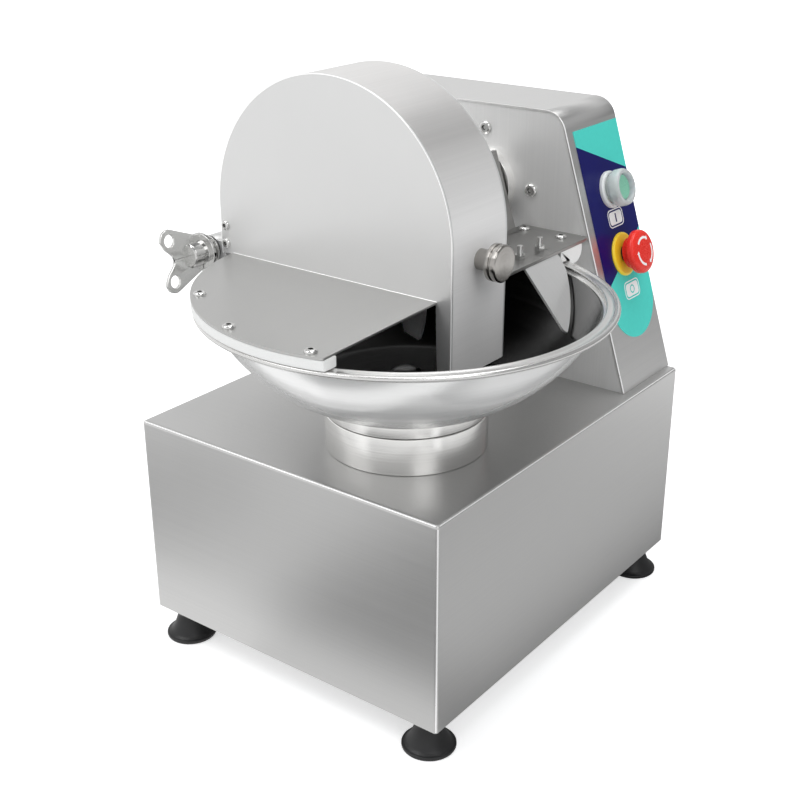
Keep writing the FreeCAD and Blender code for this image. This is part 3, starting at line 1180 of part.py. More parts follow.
for share in (0.21, 0.83):
    SCRAPER_BOLTS.append(("bracket_edge_x - 13.5",
                          "%s + (%s - %s) * %g" % (FLANGE_START, FLANGE_END, FLANGE_START, share)))
for x, y in SCRAPER_BOLTS:
    hole = Part.makeCylinder(2.5, 20, Vector(number(x), number(y), size("bracket_z") - 10))
    scraper_shape = scraper_shape.cut(hole)
fused("scraper", scraper_shape)
drilled(bracket, "XY_Plane", "bracket_z - bracket_sheet - 1", "bracket_sheet + 2",
        [(x, y, "2.5") for x, y in SCRAPER_BOLTS])
nut_hexagon = [Vector(4.6 * math.cos(math.radians(60 * k)), 4.6 * math.sin(math.radians(60 * k)), 0)
               for k in range(7)]
scraper_bolt = Part.makeCylinder(2.5, 17, Vector(0, 0, -5)).fuse(
    Part.Face(Part.makePolygon(nut_hexagon)).extrude(Vector(0, 0, 4.5)))
scraper_head = Part.makeCylinder(4.2, 3, Vector(0, 0, -8))
scraper_bolt = scraper_bolt.fuse(scraper_head).removeSplitter()
bracket_screws += placed(scraper_bolt,
                         [Placement(Vector(number(x), number(y), size("bracket_z")), Rotation())
                          for x, y in SCRAPER_BOLTS])
fused("bracket_screws", Part.makeCompound(bracket_screws))

# Sealed magnetic switch under the rear bracket that senses the closed hood
flat("hood_switch", "XY_Plane", "bracket_z - bracket_sheet - 12", "12",
     (box("bracket_x + 12", "bracket_front_y + 2", "bracket_x + 42", "bracket_front_y + 16"),))


# Controls on the sloping right side of the tower
def on_slope(height):
    """A point on the outside of the slope, in the row of the buttons."""
    return ("tower_foot - (%s) * sin(lean)" % height, "row_y", "deck_z + (%s) * cos(lean)" % height)


START_AT = on_slope("start_height")
STOP_AT = on_slope("stop_height")
START_BARREL = "15"
STOP_BARREL = "11"


def slope_hole(at, radius):
    """A round hole through the skin, square to the slope."""
    place = Vector(number(at[0]), number(at[1]), number(at[2]))
    out = OUT_OF_SLOPE.multVec(Vector(0, 0, 1))
    return Part.makeCylinder(float(radius), 12, place - out * 6, out)


drill_bits = doc.addObject("Part::Feature", "control_holes")
drill_bits.Shape = slope_hole(START_AT, START_BARREL).fuse(slope_hole(STOP_AT, STOP_BARREL))
pierced_skin = doc.addObject("Part::Cut", "tower_skin_pierced")
pierced_skin.Base = skin
pierced_skin.Tool = drill_bits
skin.Label = "tower_skin_blank"
pierced_skin.Label = "tower_skin"
PARTS[PARTS.index(skin)] = pierced_skin

turned("start_bezel", (
    ("13.4", "-6"), ("9", "-6"), ("9", "-16"), (START_BARREL, "-16"), (START_BARREL, "label_sheet"),
    ("17", "label_sheet"), ("17", "4"), ("16", "5"), ("13.4", "5"),
), START_AT, OUT_OF_SLOPE)
turned("start_button", (
    ("0", "-12.5"), ("4", "-12.5"), ("4", "-2"), ("13", "-2"), ("13", "8.2"), ("17", "8.2"),
    ("17", "17.5"), ("16", "19.5"), ("13", "19.5"), ("11.5", "15.5"), ("0", "15.5"),
), START_AT, OUT_OF_SLOPE)
turned("stop_collar", (
    ("8 + running_gap", "-16"), (STOP_BARREL, "-16"), (STOP_BARREL, "label_sheet"), ("20.2", "label_sheet"),
    ("20.2", "2.2"), ("18.5", "3.4"), ("8 + running_gap", "3.4"),
), STOP_AT, OUT_OF_SLOPE)
turned("stop_stem", (
    ("0", "-10"), ("8", "-10"), ("8", "10.5"), ("6", "10.5"), ("6", "18.5"), ("0", "18.5"),
), STOP_AT, OUT_OF_SLOPE)
turned("stop_head", (
    ("8.3", "7.8"), ("15", "7.8"), ("15", "12"), ("20", "14"), ("20", "19.5"), ("17", "23"), ("0", "24"),
    ("0", "18.8"), ("6 + running_gap", "18.8"), ("6 + running_gap", "10.7"), ("8.3", "10.7"),
), STOP_AT, OUT_OF_SLOPE)
blocks = new_body("switch_blocks", on_slope("0"), OUT_OF_SLOPE)
for height in ("start_height", "stop_height"):
    pad(blocks, "XY_Plane", "-46", "30", (box("-(%s) - 15" % height, "-15", "-(%s) + 15" % height, "15"),))
PARTS.append(blocks)

# Thin control label round both buttons
label = new_body("control_label", on_slope("0"), OUT_OF_SLOPE)
pad(label, "XY_Plane", "0", "label_sheet", ((
    ("-(label_top)", "-label_end_radius"),
    ("-(label_end_radius + 42)", "-label_end_radius", "label_end_radius", "left"),
    ("-(label_end_radius + 42)", "label_end_radius"),
    ("-(label_top)", "label_end_radius"),
),), (("-start_height", "0", START_BARREL), ("-stop_height", "0", STOP_BARREL)))
PARTS.append(label)

doc.recompute()

# Every object has to be sound before anything is written
for item in doc.Objects:
    state = [word for word in item.State if word in ("Invalid", "Error")]
    if state:
        raise RuntimeError("%s did not recompute: %s" % (item.Label, state))
os.makedirs("parts", exist_ok=True)
for part in PARTS:
    if part.Shape.isNull() or not part.Shape.isValid():
        raise RuntimeError("%s has no valid shape" % part.Label)
for part in PARTS:
    part.Shape.exportStep("parts/%s.step" % part.Label)
    print("%-24s %2d solids %10.0f mm3" % (part.Label, len(part.Shape.Solids), part.Shape.Volume))
print(len(PARTS), "parts")
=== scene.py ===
import math

import bmesh
import bpy
from mathutils import Matrix, Vector


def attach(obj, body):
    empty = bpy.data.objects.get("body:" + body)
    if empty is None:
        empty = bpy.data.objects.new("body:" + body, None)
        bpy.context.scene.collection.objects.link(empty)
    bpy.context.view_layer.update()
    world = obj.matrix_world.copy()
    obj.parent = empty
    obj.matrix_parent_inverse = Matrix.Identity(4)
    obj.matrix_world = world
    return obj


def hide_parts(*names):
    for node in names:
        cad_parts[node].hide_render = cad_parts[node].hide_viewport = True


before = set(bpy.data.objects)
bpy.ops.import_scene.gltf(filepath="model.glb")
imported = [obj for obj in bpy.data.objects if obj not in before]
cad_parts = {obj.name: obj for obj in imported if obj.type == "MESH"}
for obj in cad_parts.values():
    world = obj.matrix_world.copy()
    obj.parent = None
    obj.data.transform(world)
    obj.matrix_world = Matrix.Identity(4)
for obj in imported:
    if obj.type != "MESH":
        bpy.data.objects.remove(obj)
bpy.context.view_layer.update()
MM = 0.001

# Camera at the photograph's viewpoint: to the front and right of the machine, a little
# above the bowl. No shift and no depth of field.
CAMERA_SPOT = Vector((649.7, -886.6, 692.0)) * MM
CAMERA_AZIMUTH = math.radians(37.28)
CAMERA_ELEVATION = math.radians(23.53)
CAMERA_ROLL = math.radians(-0.18)
camera_data = bpy.data.cameras.new("Camera")
camera_data.sensor_width = 36.0
camera_data.lens = 58.48
camera_data.clip_start = 0.01
camera = bpy.data.objects.new("Camera", camera_data)
bpy.context.scene.collection.objects.link(camera)
camera_back = Vector((math.sin(CAMERA_AZIMUTH) * math.cos(CAMERA_ELEVATION),
                      -math.cos(CAMERA_AZIMUTH) * math.cos(CAMERA_ELEVATION),
                      math.sin(CAMERA_ELEVATION)))
camera_right = Vector((math.cos(CAMERA_AZIMUTH), math.sin(CAMERA_AZIMUTH), 0))
camera_axes = Matrix((camera_right, camera_back.cross(camera_right), camera_back)).transposed()
camera.matrix_world = (Matrix.Translation(CAMERA_SPOT) @ camera_axes.to_4x4()
                       @ Matrix.Rotation(CAMERA_ROLL, 4, "Z"))
bpy.context.scene.camera = camera
bpy.context.scene.view_settings.view_transform = "Standard"


# Studio: a pale floor under a white room, lit by three large soft lamps. The camera sees
# pure white with the machine's soft shadow. Metal sees a grey card near the machine and a
# bright sweep to the front and left.
def new_material(name):
    """A material with its nodes and its shader."""
    material = bpy.data.materials.new(name)
    material.use_nodes = True
    nodes = material.node_tree.nodes
    return material, nodes, nodes["Principled BSDF"]


def linked(object_name, data):
    """An object of a mesh or a lamp in the scene."""
    item = bpy.data.objects.new(object_name, data)
    bpy.context.scene.collection.objects.link(item)
    return item


def join(value, socket):
    """Leads one socket into another."""
    socket.id_data.links.new(value, socket)


def settled(node, **values):
    """Sets inputs of a node, named with low lines for blanks."""
    for key, value in values.items():
        node.inputs[key.replace("_", " ")].default_value = value


def reckoned(nodes, operation, *values):
    """A math node over sockets and plain numbers."""
    node = nodes.new("ShaderNodeMath")
    node.operation = operation
    for socket, value in zip(node.inputs, values):
        if isinstance(value, (int, float)):
            socket.default_value = value
        else:
            join(value, socket)
    return node.outputs[0]


def spread(nodes, value, low, high, start, stop):
    """A number stretched from one range to another."""
    spreader = nodes.new("ShaderNodeMapRange")
    for socket, number in (("From Min", low), ("From Max", high), ("To Min", start), ("To Max", stop)):
        spreader.inputs[socket].default_value = number
    join(value, spreader.inputs["Value"])
    return spreader.outputs[0]


def axes_of(nodes, vector):
    """The X, Y and Z of a vector socket."""
    split = nodes.new("ShaderNodeSeparateXYZ")
    join(vector, split.inputs[0])
    return split.outputs


def own_place(nodes):
    """The piece's own coordinates, in metres."""
    return nodes.new("ShaderNodeTexCoord").outputs["Object"]


def tone_ramp(nodes, value, tones):
    """A grey ramp over a number, from (place, tone) pairs."""
    ramp = nodes.new("ShaderNodeValToRGB")
    while len(ramp.color_ramp.elements) < len(tones):
        ramp.color_ramp.elements.new(0.5)
    for element, (place, tone) in zip(ramp.color_ramp.elements, tones):
        element.position = place
        element.color = (tone, tone, tone, 1)
    join(value, ramp.inputs[0])
    return ramp.outputs[0]


world = bpy.data.worlds.new("White room")
world.use_nodes = True
bpy.context.scene.world = world
nodes = world.node_tree.nodes
nodes.clear()
path = nodes.new("ShaderNodeLightPath")
direction = axes_of(nodes, nodes.new("ShaderNodeTexCoord").outputs["Generated"])
height = spread(nodes, direction["Z"], -1.0, 1.0, 0.0, 1.0)
BACK_TONES = ((0.0, 0.30), (0.5, 0.34), (0.62, 0.70), (0.72, 0.82), (0.82, 0.42), (1.0, 0.24))
FRONT_TONES = ((0.0, 1.0), (0.5, 1.0), (0.62, 1.0), (0.72, 0.9), (0.84, 0.5), (1.0, 0.26))
FRONT_LEFT = (-0.6, -0.8)
ahead = reckoned(nodes, "MULTIPLY_ADD", direction["X"], FRONT_LEFT[0],
                 reckoned(nodes, "MULTIPLY", direction["Y"], FRONT_LEFT[1]))
room = nodes.new("ShaderNodeMix")
room.data_type = "RGBA"
join(spread(nodes, ahead, -0.6, 0.3, 0.0, 1.0), room.inputs["Factor"])
rear_right = spread(nodes, direction["X"], -0.35, 0.15, 1.0, 0.5)
join(reckoned(nodes, "MULTIPLY", tone_ramp(nodes, height, BACK_TONES), rear_right), room.inputs["A"])
join(tone_ramp(nodes, height, FRONT_TONES), room.inputs["B"])
seen = nodes.new("ShaderNodeMix")
seen.data_type = "RGBA"
join(path.outputs["Is Camera Ray"], seen.inputs["Factor"])
join(room.outputs["Result"], seen.inputs["A"])
settled(seen, B=(1, 1, 1, 1))
seen_room = nodes.new("ShaderNodeBackground")
join(seen.outputs["Result"], seen_room.inputs["Color"])
room_light = nodes.new("ShaderNodeBackground")
settled(room_light, Color=(0.96, 0.98, 1.0, 1), Strength=0.58)
seen_or_lit = nodes.new("ShaderNodeMixShader")
direct = reckoned(nodes, "MAXIMUM", path.outputs["Is Camera Ray"], path.outputs["Is Glossy Ray"])
direct = reckoned(nodes, "MAXIMUM", direct, path.outputs["Is Transmission Ray"])
join(direct, seen_or_lit.inputs[0])
join(room_light.outputs[0], seen_or_lit.inputs[1])
join(seen_room.outputs[0], seen_or_lit.inputs[2])
join(seen_or_lit.outputs[0], nodes.new("ShaderNodeOutputWorld").inputs["Surface"])

FLOOR_HALF = 6.0
floor_mesh = bpy.data.meshes.new("Floor")
floor_mesh.from_pydata([(-FLOOR_HALF, -FLOOR_HALF, 0), (FLOOR_HALF, -FLOOR_HALF, 0),
                        (FLOOR_HALF, FLOOR_HALF, 0), (-FLOOR_HALF, FLOOR_HALF, 0)], [], [(0, 1, 2, 3)])
floor = linked("Floor", floor_mesh)
floor_material, nodes, shader = new_material("Pale floor")
settled(shader, Base_Color=(0.86, 0.86, 0.86, 1), Roughness=0.6, Specular_IOR_Level=0.2)
place = own_place(nodes)
ground = axes_of(nodes, place)
reach = nodes.new("ShaderNodeVectorMath")
reach.operation = "LENGTH"
join(place, reach.inputs[0])
path = nodes.new("ShaderNodeLightPath")
glow = nodes.new("ShaderNodeEmission")
far_glow = spread(nodes, reach.outputs["Value"], 0.7, 1.6, 0.52, 1.0)
join(reckoned(nodes, "MULTIPLY", far_glow, path.outputs["Is Camera Ray"]), glow.inputs["Strength"])
lit_floor = nodes.new("ShaderNodeAddShader")
join(shader.outputs[0], lit_floor.inputs[0])
join(glow.outputs[0], lit_floor.inputs[1])
FLOOR_TONES = ((0.0, 0.22), (0.30, 0.22), (0.42, 0.32), (0.54, 0.68), (0.66, 1.0), (1.0, 1.0))
LEFT_TONES = ((0.0, 0.0), (0.13, 0.0), (0.25, 0.56), (0.35, 0.42), (0.52, 0.14), (1.0, 0.08))
TONES_REACH = 1.5
card = tone_ramp(nodes, spread(nodes, reach.outputs["Value"], 0.0, TONES_REACH, 0.0, 1.0), FLOOR_TONES)
card = reckoned(nodes, "MULTIPLY", card, spread(nodes, ground["Y"], 0.8, 1.5, 1.0, 0.4))
left_sweep = tone_ramp(nodes, spread(nodes, ground["X"], 0.05, -0.80, 0.0, 1.0), LEFT_TONES)
card = reckoned(nodes, "ADD", card, left_sweep)
LIGHT_PATCHES = (
    (("Y", -0.31, -0.265, 0.0, 0.66), ("Y", -0.15, -0.20, 0.0, 1.0)),
    (("X", 0.17, 0.25, 0.0, 0.40), ("Y", -0.20, -0.05, 0.0, 1.0), ("X", 0.36, 0.46, 1.0, 0.35)),
)
for patch in LIGHT_PATCHES:
    share = 1.0
    for axis, *span in patch:
        share = reckoned(nodes, "MULTIPLY", share, spread(nodes, ground[axis], *span))
    card = reckoned(nodes, "ADD", card, share)
CARD_LIMIT = 1.04
mirrored = nodes.new("ShaderNodeEmission")
join(reckoned(nodes, "MINIMUM", card, CARD_LIMIT), mirrored.inputs["Strength"])
floor_pick = nodes.new("ShaderNodeMixShader")
join(path.outputs["Is Glossy Ray"], floor_pick.inputs[0])
join(lit_floor.outputs[0], floor_pick.inputs[1])
join(mirrored.outputs[0], floor_pick.inputs[2])
join(floor_pick.outputs[0], nodes["Material Output"].inputs["Surface"])
floor_mesh.materials.append(floor_material)

LAMP_AIM = Vector((0, 0, 250)) * MM
LAMPS = (
    ("Key lamp", (-900, -1300, 2300), 1400, 22.0),
    ("Side lamp", (1700, -900, 1900), 1100, 9.0),
    ("Top lamp", (200, 300, 2500), 1500, 20.0),
)
for lamp_name, lamp_spot, lamp_width, lamp_power in LAMPS:
    lamp_data = bpy.data.lights.new(lamp_name, "AREA")
    lamp_data.size = lamp_width * MM
    lamp_data.energy = lamp_power
    lamp = linked(lamp_name, lamp_data)
    lamp.location = Vector(lamp_spot) * MM
    lamp.rotation_euler = (lamp.location - LAMP_AIM).to_track_quat("Z", "Y").to_euler()


# Base box: satin stainless sheet, folded and welded at the corners, ground along its
# length. The bottom plate closes it and carries the feet.
def mixed(nodes, factor, first, second):
    """A number between two others."""
    mix = nodes.new("ShaderNodeMix")
    join(factor, mix.inputs["Factor"])
    join(first, mix.inputs["A"])
    join(second, mix.inputs["B"])
    return mix.outputs["Result"]


def noise_field(nodes, place, stretch, detail=4.0):
    """Noise over coordinates in metres, stretched along each axis."""
    mapping = nodes.new("ShaderNodeMapping")
    settled(mapping, Scale=stretch)
    join(place, mapping.inputs["Vector"])
    noise = nodes.new("ShaderNodeTexNoise")
    settled(noise, Scale=1.0, Detail=detail, Roughness=0.6)
    join(mapping.outputs[0], noise.inputs["Vector"])
    return noise.outputs["Fac"]


def tint(nodes, value, shader, colour, swing):
    """The base colour, a little lighter and darker with a field."""
    ramp = nodes.new("ShaderNodeValToRGB")
    ramp.color_ramp.elements[0].position = 0.3
    ramp.color_ramp.elements[1].position = 0.7
    ramp.color_ramp.elements[0].color = tuple(c * (1 - swing) for c in colour) + (1,)
    ramp.color_ramp.elements[1].color = tuple(min(c * (1 + swing), 1) for c in colour) + (1,)
    join(value, ramp.inputs[0])
    join(ramp.outputs[0], shader.inputs["Base Color"])


def roughened(nodes, value, shader, low, high):
    """Roughness that follows a field."""
    join(spread(nodes, value, 0.3, 0.7, low, high), shader.inputs["Roughness"])


def relief(nodes, value, shader, strength, distance):
    """Small bumps from a field, distance in metres."""
    bump = nodes.new("ShaderNodeBump")
    settled(bump, Strength=strength, Distance=distance)
    join(value, bump.inputs["Height"])
    join(bump.outputs[0], shader.inputs["Normal"])


def ground_steel(name, colour, roughness, first, second, switch, swing=0.03, depth=0.03, metal=0.85):
    """Ground stainless: the grain is stretched one way, and another way on faces that look
    along the switch axis. Faint clouds come from handling."""
    material, nodes, shader = new_material(name)
    place = own_place(nodes)
    looking = axes_of(nodes, nodes.new("ShaderNodeNewGeometry").outputs["Normal"])
    facing = reckoned(nodes, "ABSOLUTE", looking[switch])
    turn = spread(nodes, facing, 0.6, 0.75, 0.0, 1.0)
    grain = mixed(nodes, turn, noise_field(nodes, place, first), noise_field(nodes, place, second))
    clouds = noise_field(nodes, place, (9.0, 9.0, 6.0), 3.0)
    field = reckoned(nodes, "MULTIPLY_ADD", grain, 0.7, reckoned(nodes, "MULTIPLY", clouds, 0.3))
    tint(nodes, field, shader, colour, swing)
    roughened(nodes, field, shader, roughness - 0.04, roughness + 0.04)
    relief(nodes, grain, shader, depth, 0.0003)
    settled(shader, Metallic=metal)
    return material


def broken_edges(item, edge, segments=2):
    """Joins a mesh along its edges and rounds the sharp ones by a width in mm."""
    weld = item.modifiers.new("Joined edges", "WELD")
    weld.merge_threshold = 0.00001
    rounding = item.modifiers.new("Broken edges", "BEVEL")
    rounding.width = edge * MM
    rounding.segments = segments
    rounding.limit_method = "ANGLE"
    rounding.angle_limit = math.radians(38)
    rounding.harden_normals = True


def dress(material, edge, *node_names):
    """Gives CAD nodes their finish and a small rounding of their sharp edges."""
    for node_name in node_names:
        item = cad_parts[node_name]
        item.data.materials.clear()
        item.data.materials.append(material)
        if edge:
            broken_edges(item, edge)


FINE = 700.0
LONG = 3.0
LINES_X = (LONG, FINE, FINE)
LINES_Y = (FINE, LONG, FINE)
base_steel = ground_steel("Base steel", (0.635, 0.633, 0.627), 0.34, LINES_X, LINES_Y, "X")


def multiplied(material, share):
    """Multiplies a material's colour by a number."""
    nodes = material.node_tree.nodes
    base_colour = nodes["Principled BSDF"].inputs["Base Color"]
    product = nodes.new("ShaderNodeMix")
    product.data_type = "RGBA"
    product.blend_type = "MULTIPLY"
    settled(product, Factor=1.0)
    join(base_colour.links[0].from_socket, product.inputs["A"])
    join(share, product.inputs["B"])
    join(product.outputs["Result"], base_colour)


# Painted shade: upward faces of the base darken where the bowl and the tower close in over them, found by
# occlusion within 160 mm.
PAINTED_SHADE_REACH = 160
nodes = base_steel.node_tree.nodes
painted_shade_occlusion = nodes.new("ShaderNodeAmbientOcclusion")
settled(painted_shade_occlusion, Distance=PAINTED_SHADE_REACH * MM)
painted_shade = spread(nodes, painted_shade_occlusion.outputs["AO"], 0.15, 0.60, 0.36, 0.0)
upward = axes_of(nodes, nodes.new("ShaderNodeNewGeometry").outputs["Normal"])["Z"]
painted_shade = reckoned(nodes, "MULTIPLY", painted_shade, reckoned(nodes, "MAXIMUM", upward, 0.0))
multiplied(base_steel, reckoned(nodes, "SUBTRACT", 1.0, painted_shade))
dress(base_steel, 0, "base_housing")
dress(base_steel, 0.3, "bottom_plate")


# Rubber feet: four moulded bell-shaped feet, each held by a screw from below. They are
# matt black, with a thin rim round the sole.
def arc(middle, height, radius, start, stop, count):
    """Points on an arc of a profile, by angles in degrees."""
    points = []
    for k in range(count + 1):
        angle = math.radians(start + (stop - start) * k / count)
        points.append((middle + radius * math.cos(angle), height + radius * math.sin(angle)))
    return points


def softened(points, radius, closed=True):
    """The same outline with its corners rounded off."""
    result = []
    for k, here in enumerate(points):
        spot = Vector(here)
        back = Vector(points[k - 1]) - spot
        onward = Vector(points[(k + 1) % len(points)]) - spot
        at_end = not closed and k in (0, len(points) - 1)
        if at_end or here[0] == 0 or back.length == 0 or onward.length == 0 or (
                back.normalized().dot(-onward.normalized()) > 0.97):
            result.append(here)
            continue
        reach = min(radius, back.length * 0.45, onward.length * 0.45)
        first = spot + back.normalized() * reach
        last = spot + onward.normalized() * reach
        for t in (0.0, 0.25, 0.5, 0.75, 1.0):
            point = first * (1 - t) ** 2 + spot * (2 * t * (1 - t)) + last * t ** 2
            result.append(tuple(point))
    return result


def finished(name, shape, material, matrix, sharp=34):
    """A bmesh in millimetres as an object in its place, smooth but for its sharp edges."""
    bmesh.ops.recalc_face_normals(shape, faces=shape.faces)
    mesh = bpy.data.meshes.new(name)
    shape.to_mesh(mesh)
    shape.free()
    mesh.transform(Matrix.Scale(MM, 4))
    mesh.shade_smooth()
    mesh.set_sharp_from_angle(angle=math.radians(sharp))
    if material:
        mesh.materials.append(material)
    item = linked(name, mesh)
    item.matrix_world = matrix
    return item


def spun(shape, profile, steps=96, closed=True, lift=Matrix()):
    """Turns a (radius, height) profile about Z into a bmesh."""
    rings = []
    for radius, height in profile:
        if radius < 1e-6:
            rings.append([shape.verts.new(lift @ Vector((0, 0, height)))])
            continue
        rings.append([shape.verts.new(lift @ Vector((radius * math.cos(2 * math.pi * k / steps),
                                                     radius * math.sin(2 * math.pi * k / steps),
                                                     height))) for k in range(steps)])
    for low, high in zip(rings, rings[1:] + rings[:1] if closed else rings[1:]):
        if len(low) == 1 and len(high) == 1:
            continue
        for k in range(steps):
            ring = (low[k % len(low)], low[(k + 1) % len(low)],
                    high[(k + 1) % len(high)], high[k % len(high)])
            shape.faces.new(list(dict.fromkeys(ring)))


def turned(name, profile, material, matrix, steps=96, closed=True):
    """A lathe-turned piece."""
    shape = bmesh.new()
    spun(shape, profile, steps, closed)
    return finished(name, shape, material, matrix)


def at(x, y, z):
    """A place in the machine's frame, in millimetres."""
    return Matrix.Translation(Vector((x, y, z)) * MM)


def moulded(name, colour, roughness, grain=0.3, swing=0.08):
    """Moulded plastic or rubber with a fine surface grain."""
    material, nodes, shader = new_material(name)
    field = noise_field(nodes, own_place(nodes), (1600.0, 1600.0, 1600.0), 2.0)
    tint(nodes, field, shader, colour, swing)
    roughened(nodes, field, shader, roughness - 0.04, roughness + 0.04)
    relief(nodes, field, shader, grain, 0.00005)
    return material


black_rubber = moulded("Black rubber", (0.012, 0.012, 0.013), 0.45)
FOOT_HEIGHT = 32
FOOT_SPREAD = (138.5, 177)
foot_profile = softened(
    [(3, 6), (7, 6), (7, 0), (22.2, 0), (23, 1), (23, 3.4)]
    + [(23 - 11.5 * t, 3.4 + 19 * t ** 2.1) for t in (0.18, 0.36, 0.54, 0.72, 0.88, 1.0)]
    + [(12.2, 25.5), (15, 30), (15, FOOT_HEIGHT), (3, FOOT_HEIGHT)], 0.7)
for end, y_sign in (("front", -1), ("rear", 1)):
    for side, x_sign in (("left", -1), ("right", 1)):
        foot = turned("rubber_foot_%s_%s" % (end, side), foot_profile, black_rubber,
                      at(x_sign * FOOT_SPREAD[0], y_sign * FOOT_SPREAD[1], 0), 72)
        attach(foot, "machine")
        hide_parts("foot_%s_%s" % (end, side))

# Collar: a turned aluminium ring bolted to the deck, round the bowl's upper bearing. The
# bowl's own foot ring is turned to the same size and runs just above it.
BOWL_AXIS = (50, -90)
DECK = 221


def painted_shade_below(material, low, high, dark):
    """Paints shade on a material: darker below a height of its piece, in millimetres."""
    nodes = material.node_tree.nodes
    height = axes_of(nodes, own_place(nodes))["Z"]
    multiplied(material, spread(nodes, height, low * MM, high * MM, dark, 1.0))


def lathe_metal(name, colour, roughness, lines, depth=0.25, swing=0.06, stretch=0.0, metal=1.0):
    """Turned or spun metal: fine rings about the piece's own axis."""
    material, nodes, shader = new_material(name)
    place = own_place(nodes)
    flat = nodes.new("ShaderNodeVectorMath")
    flat.operation = "MULTIPLY"
    flat.inputs[1].default_value = (1, 1, 0)
    join(place, flat.inputs[0])
    radius = nodes.new("ShaderNodeVectorMath")
    radius.operation = "LENGTH"
    join(flat.outputs[0], radius.inputs[0])
    joined = nodes.new("ShaderNodeCombineXYZ")
    join(radius.outputs["Value"], joined.inputs["X"])
    join(axes_of(nodes, place)["Z"], joined.inputs["Y"])
    rings = noise_field(nodes, joined.outputs[0], (lines, lines, 1.0), 3.0)
    tint(nodes, rings, shader, colour, swing)
    roughened(nodes, rings, shader, roughness - 0.03, roughness + 0.05)
    relief(nodes, rings, shader, depth, 0.0001)
    settled(shader, Metallic=metal, Anisotropic=stretch, Anisotropic_Rotation=0.25)
    grooves = nodes.new("ShaderNodeTangent")
    grooves.direction_type = "RADIAL"
    grooves.axis = "Z"
    join(grooves.outputs[0], shader.inputs["Tangent"])
    return material


turned_aluminium = lathe_metal("Turned aluminium", (0.95, 0.945, 0.93), 0.20, 700.0, 0.12, 0.04, 0.75)
COLLAR_TOP = 253
bowl_place = at(BOWL_AXIS[0], BOWL_AXIS[1], 0)
collar_profile = softened([(22, DECK - 2), (34, DECK - 2), (34, DECK), (69, DECK), (69, COLLAR_TOP),
                           (26, COLLAR_TOP), (26, 236), (22, 236)], 0.8)
collar = turned("bowl_collar_ring", collar_profile, turned_aluminium, bowl_place, 160)
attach(collar, "machine")
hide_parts("bowl_collar")
RING_LOW = 253.6
BOWL_UNDER = 265
ring_profile = softened([(49, RING_LOW), (69, RING_LOW), (69, BOWL_UNDER - 1.2), (67, BOWL_UNDER),
                         (49, BOWL_UNDER)], 0.8)
foot_ring = turned("bowl_foot", ring_profile, turned_aluminium, bowl_place, 160)
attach(foot_ring, "bowl_set")
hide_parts("bowl_foot_ring")

# Bowl: spun from thick stainless sheet and polished. Painted shade darkens the outside towards
# its foot, and the inside steel is painted dark. The rim turns out flat, with a raised lip
# inside and a rolled bead at the edge.
polished_bowl = lathe_metal("Polished bowl steel", (0.97, 0.97, 0.965), 0.16, 260.0, 0.06, 0.03, 0.2, 0.62)
# Painted shade: the outside darkens towards its lower edge, below 292 mm.
painted_shade_below(polished_bowl, 272, 292, 0.40)
KNEE_BEND = 63.56
WALL_BEND = 156.46
WALL_MID = (19.07, 411.95)
WALL_SHEET = 3.0
BOWL_FLOOR = 273
HUB_TOP = 280
outside = arc(60, BOWL_UNDER + KNEE_BEND, KNEE_BEND, 270, 296.1, 10)
outside += arc(WALL_MID[0], WALL_MID[1], WALL_BEND, -63.4, -25.8, 34)[:-1]
outside.append((160.6, 344.3))
rim_bead = [(160.6, 344.3), (162.5, 345.0), (166.4, 345.2)] + arc(169.6, 346.8, 2.3, 220, 470, 12)
rim_bead += [(167.4, 348.1), (165.6, 347.9), (163.6, 348.1), (162.3, 348.8), (161.3, 349.0), (160.2, 348.6)]
inside = arc(WALL_MID[0], WALL_MID[1], WALL_BEND - WALL_SHEET, -26.2, -64.5, 34)
inside += [(75.5, BOWL_FLOOR + 0.2), (70, BOWL_FLOOR), (31, BOWL_FLOOR), (26, BOWL_FLOOR + 1.6),
           (20, HUB_TOP - 0.6), (18, HUB_TOP)]
middle_line = arc(WALL_MID[0], WALL_MID[1], WALL_BEND - WALL_SHEET / 2, -26.0, -63.9, 34)
middle_line += [(75.3, BOWL_FLOOR - 3), (70, BOWL_FLOOR - 3.5), (10.1, BOWL_FLOOR - 3.5)]
# Painted shade: the inside steel is given a dark colour, darker still towards the bottom.
painted_dark_inner_steel = lathe_metal("Bowl inner steel, painted dark", (0.10, 0.10, 0.10), 0.20, 300.0, 0.12, 0.05, 0.3)
painted_shade_below(painted_dark_inner_steel, 296, 340, 0.12)
rim_steel = lathe_metal("Bowl rim steel", (0.74, 0.735, 0.725), 0.27, 300.0, 0.10, 0.04, 0.3, 0.85)
bowl_skins = (
    ("chopping_bowl", [(10.1, BOWL_UNDER)] + outside + middle_line, polished_bowl),
    ("chopping_bowl_inside", inside + [(10.1, HUB_TOP)] + middle_line[::-1], painted_dark_inner_steel),
    ("chopping_bowl_rim", rim_bead, rim_steel),
)
for skin_name, skin_profile, skin_steel in bowl_skins:
    skin = turned(skin_name, skin_profile, skin_steel, bowl_place, 224)
    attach(skin, "bowl_set")
    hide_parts("bowl")

# Bowl nut: a domed nut, screwed on the end of the bowl's shaft. Its steel is painted dark
# as painted shade.
nut_profile = softened([(10.1, HUB_TOP), (13, HUB_TOP), (13, HUB_TOP + 3.5)], 0.4, False)
nut_profile += arc(4.52, HUB_TOP - 5, 12, 45.1, 87.7, 8)
nut_profile += [(0, HUB_TOP + 7), (0, HUB_TOP + 4.2), (10.1, HUB_TOP + 4.2)]
# Painted shade: a dark colour for the nut's steel.
shaded_nut_steel = lathe_metal("Nut steel, painted dark", (0.10, 0.10, 0.10), 0.3, 700.0, 0.15, 0.05, 0.3)
nut = turned("bowl_holding_nut", nut_profile, shaded_nut_steel, bowl_place, 72)
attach(nut, "bowl_set")
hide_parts("bowl_nut")

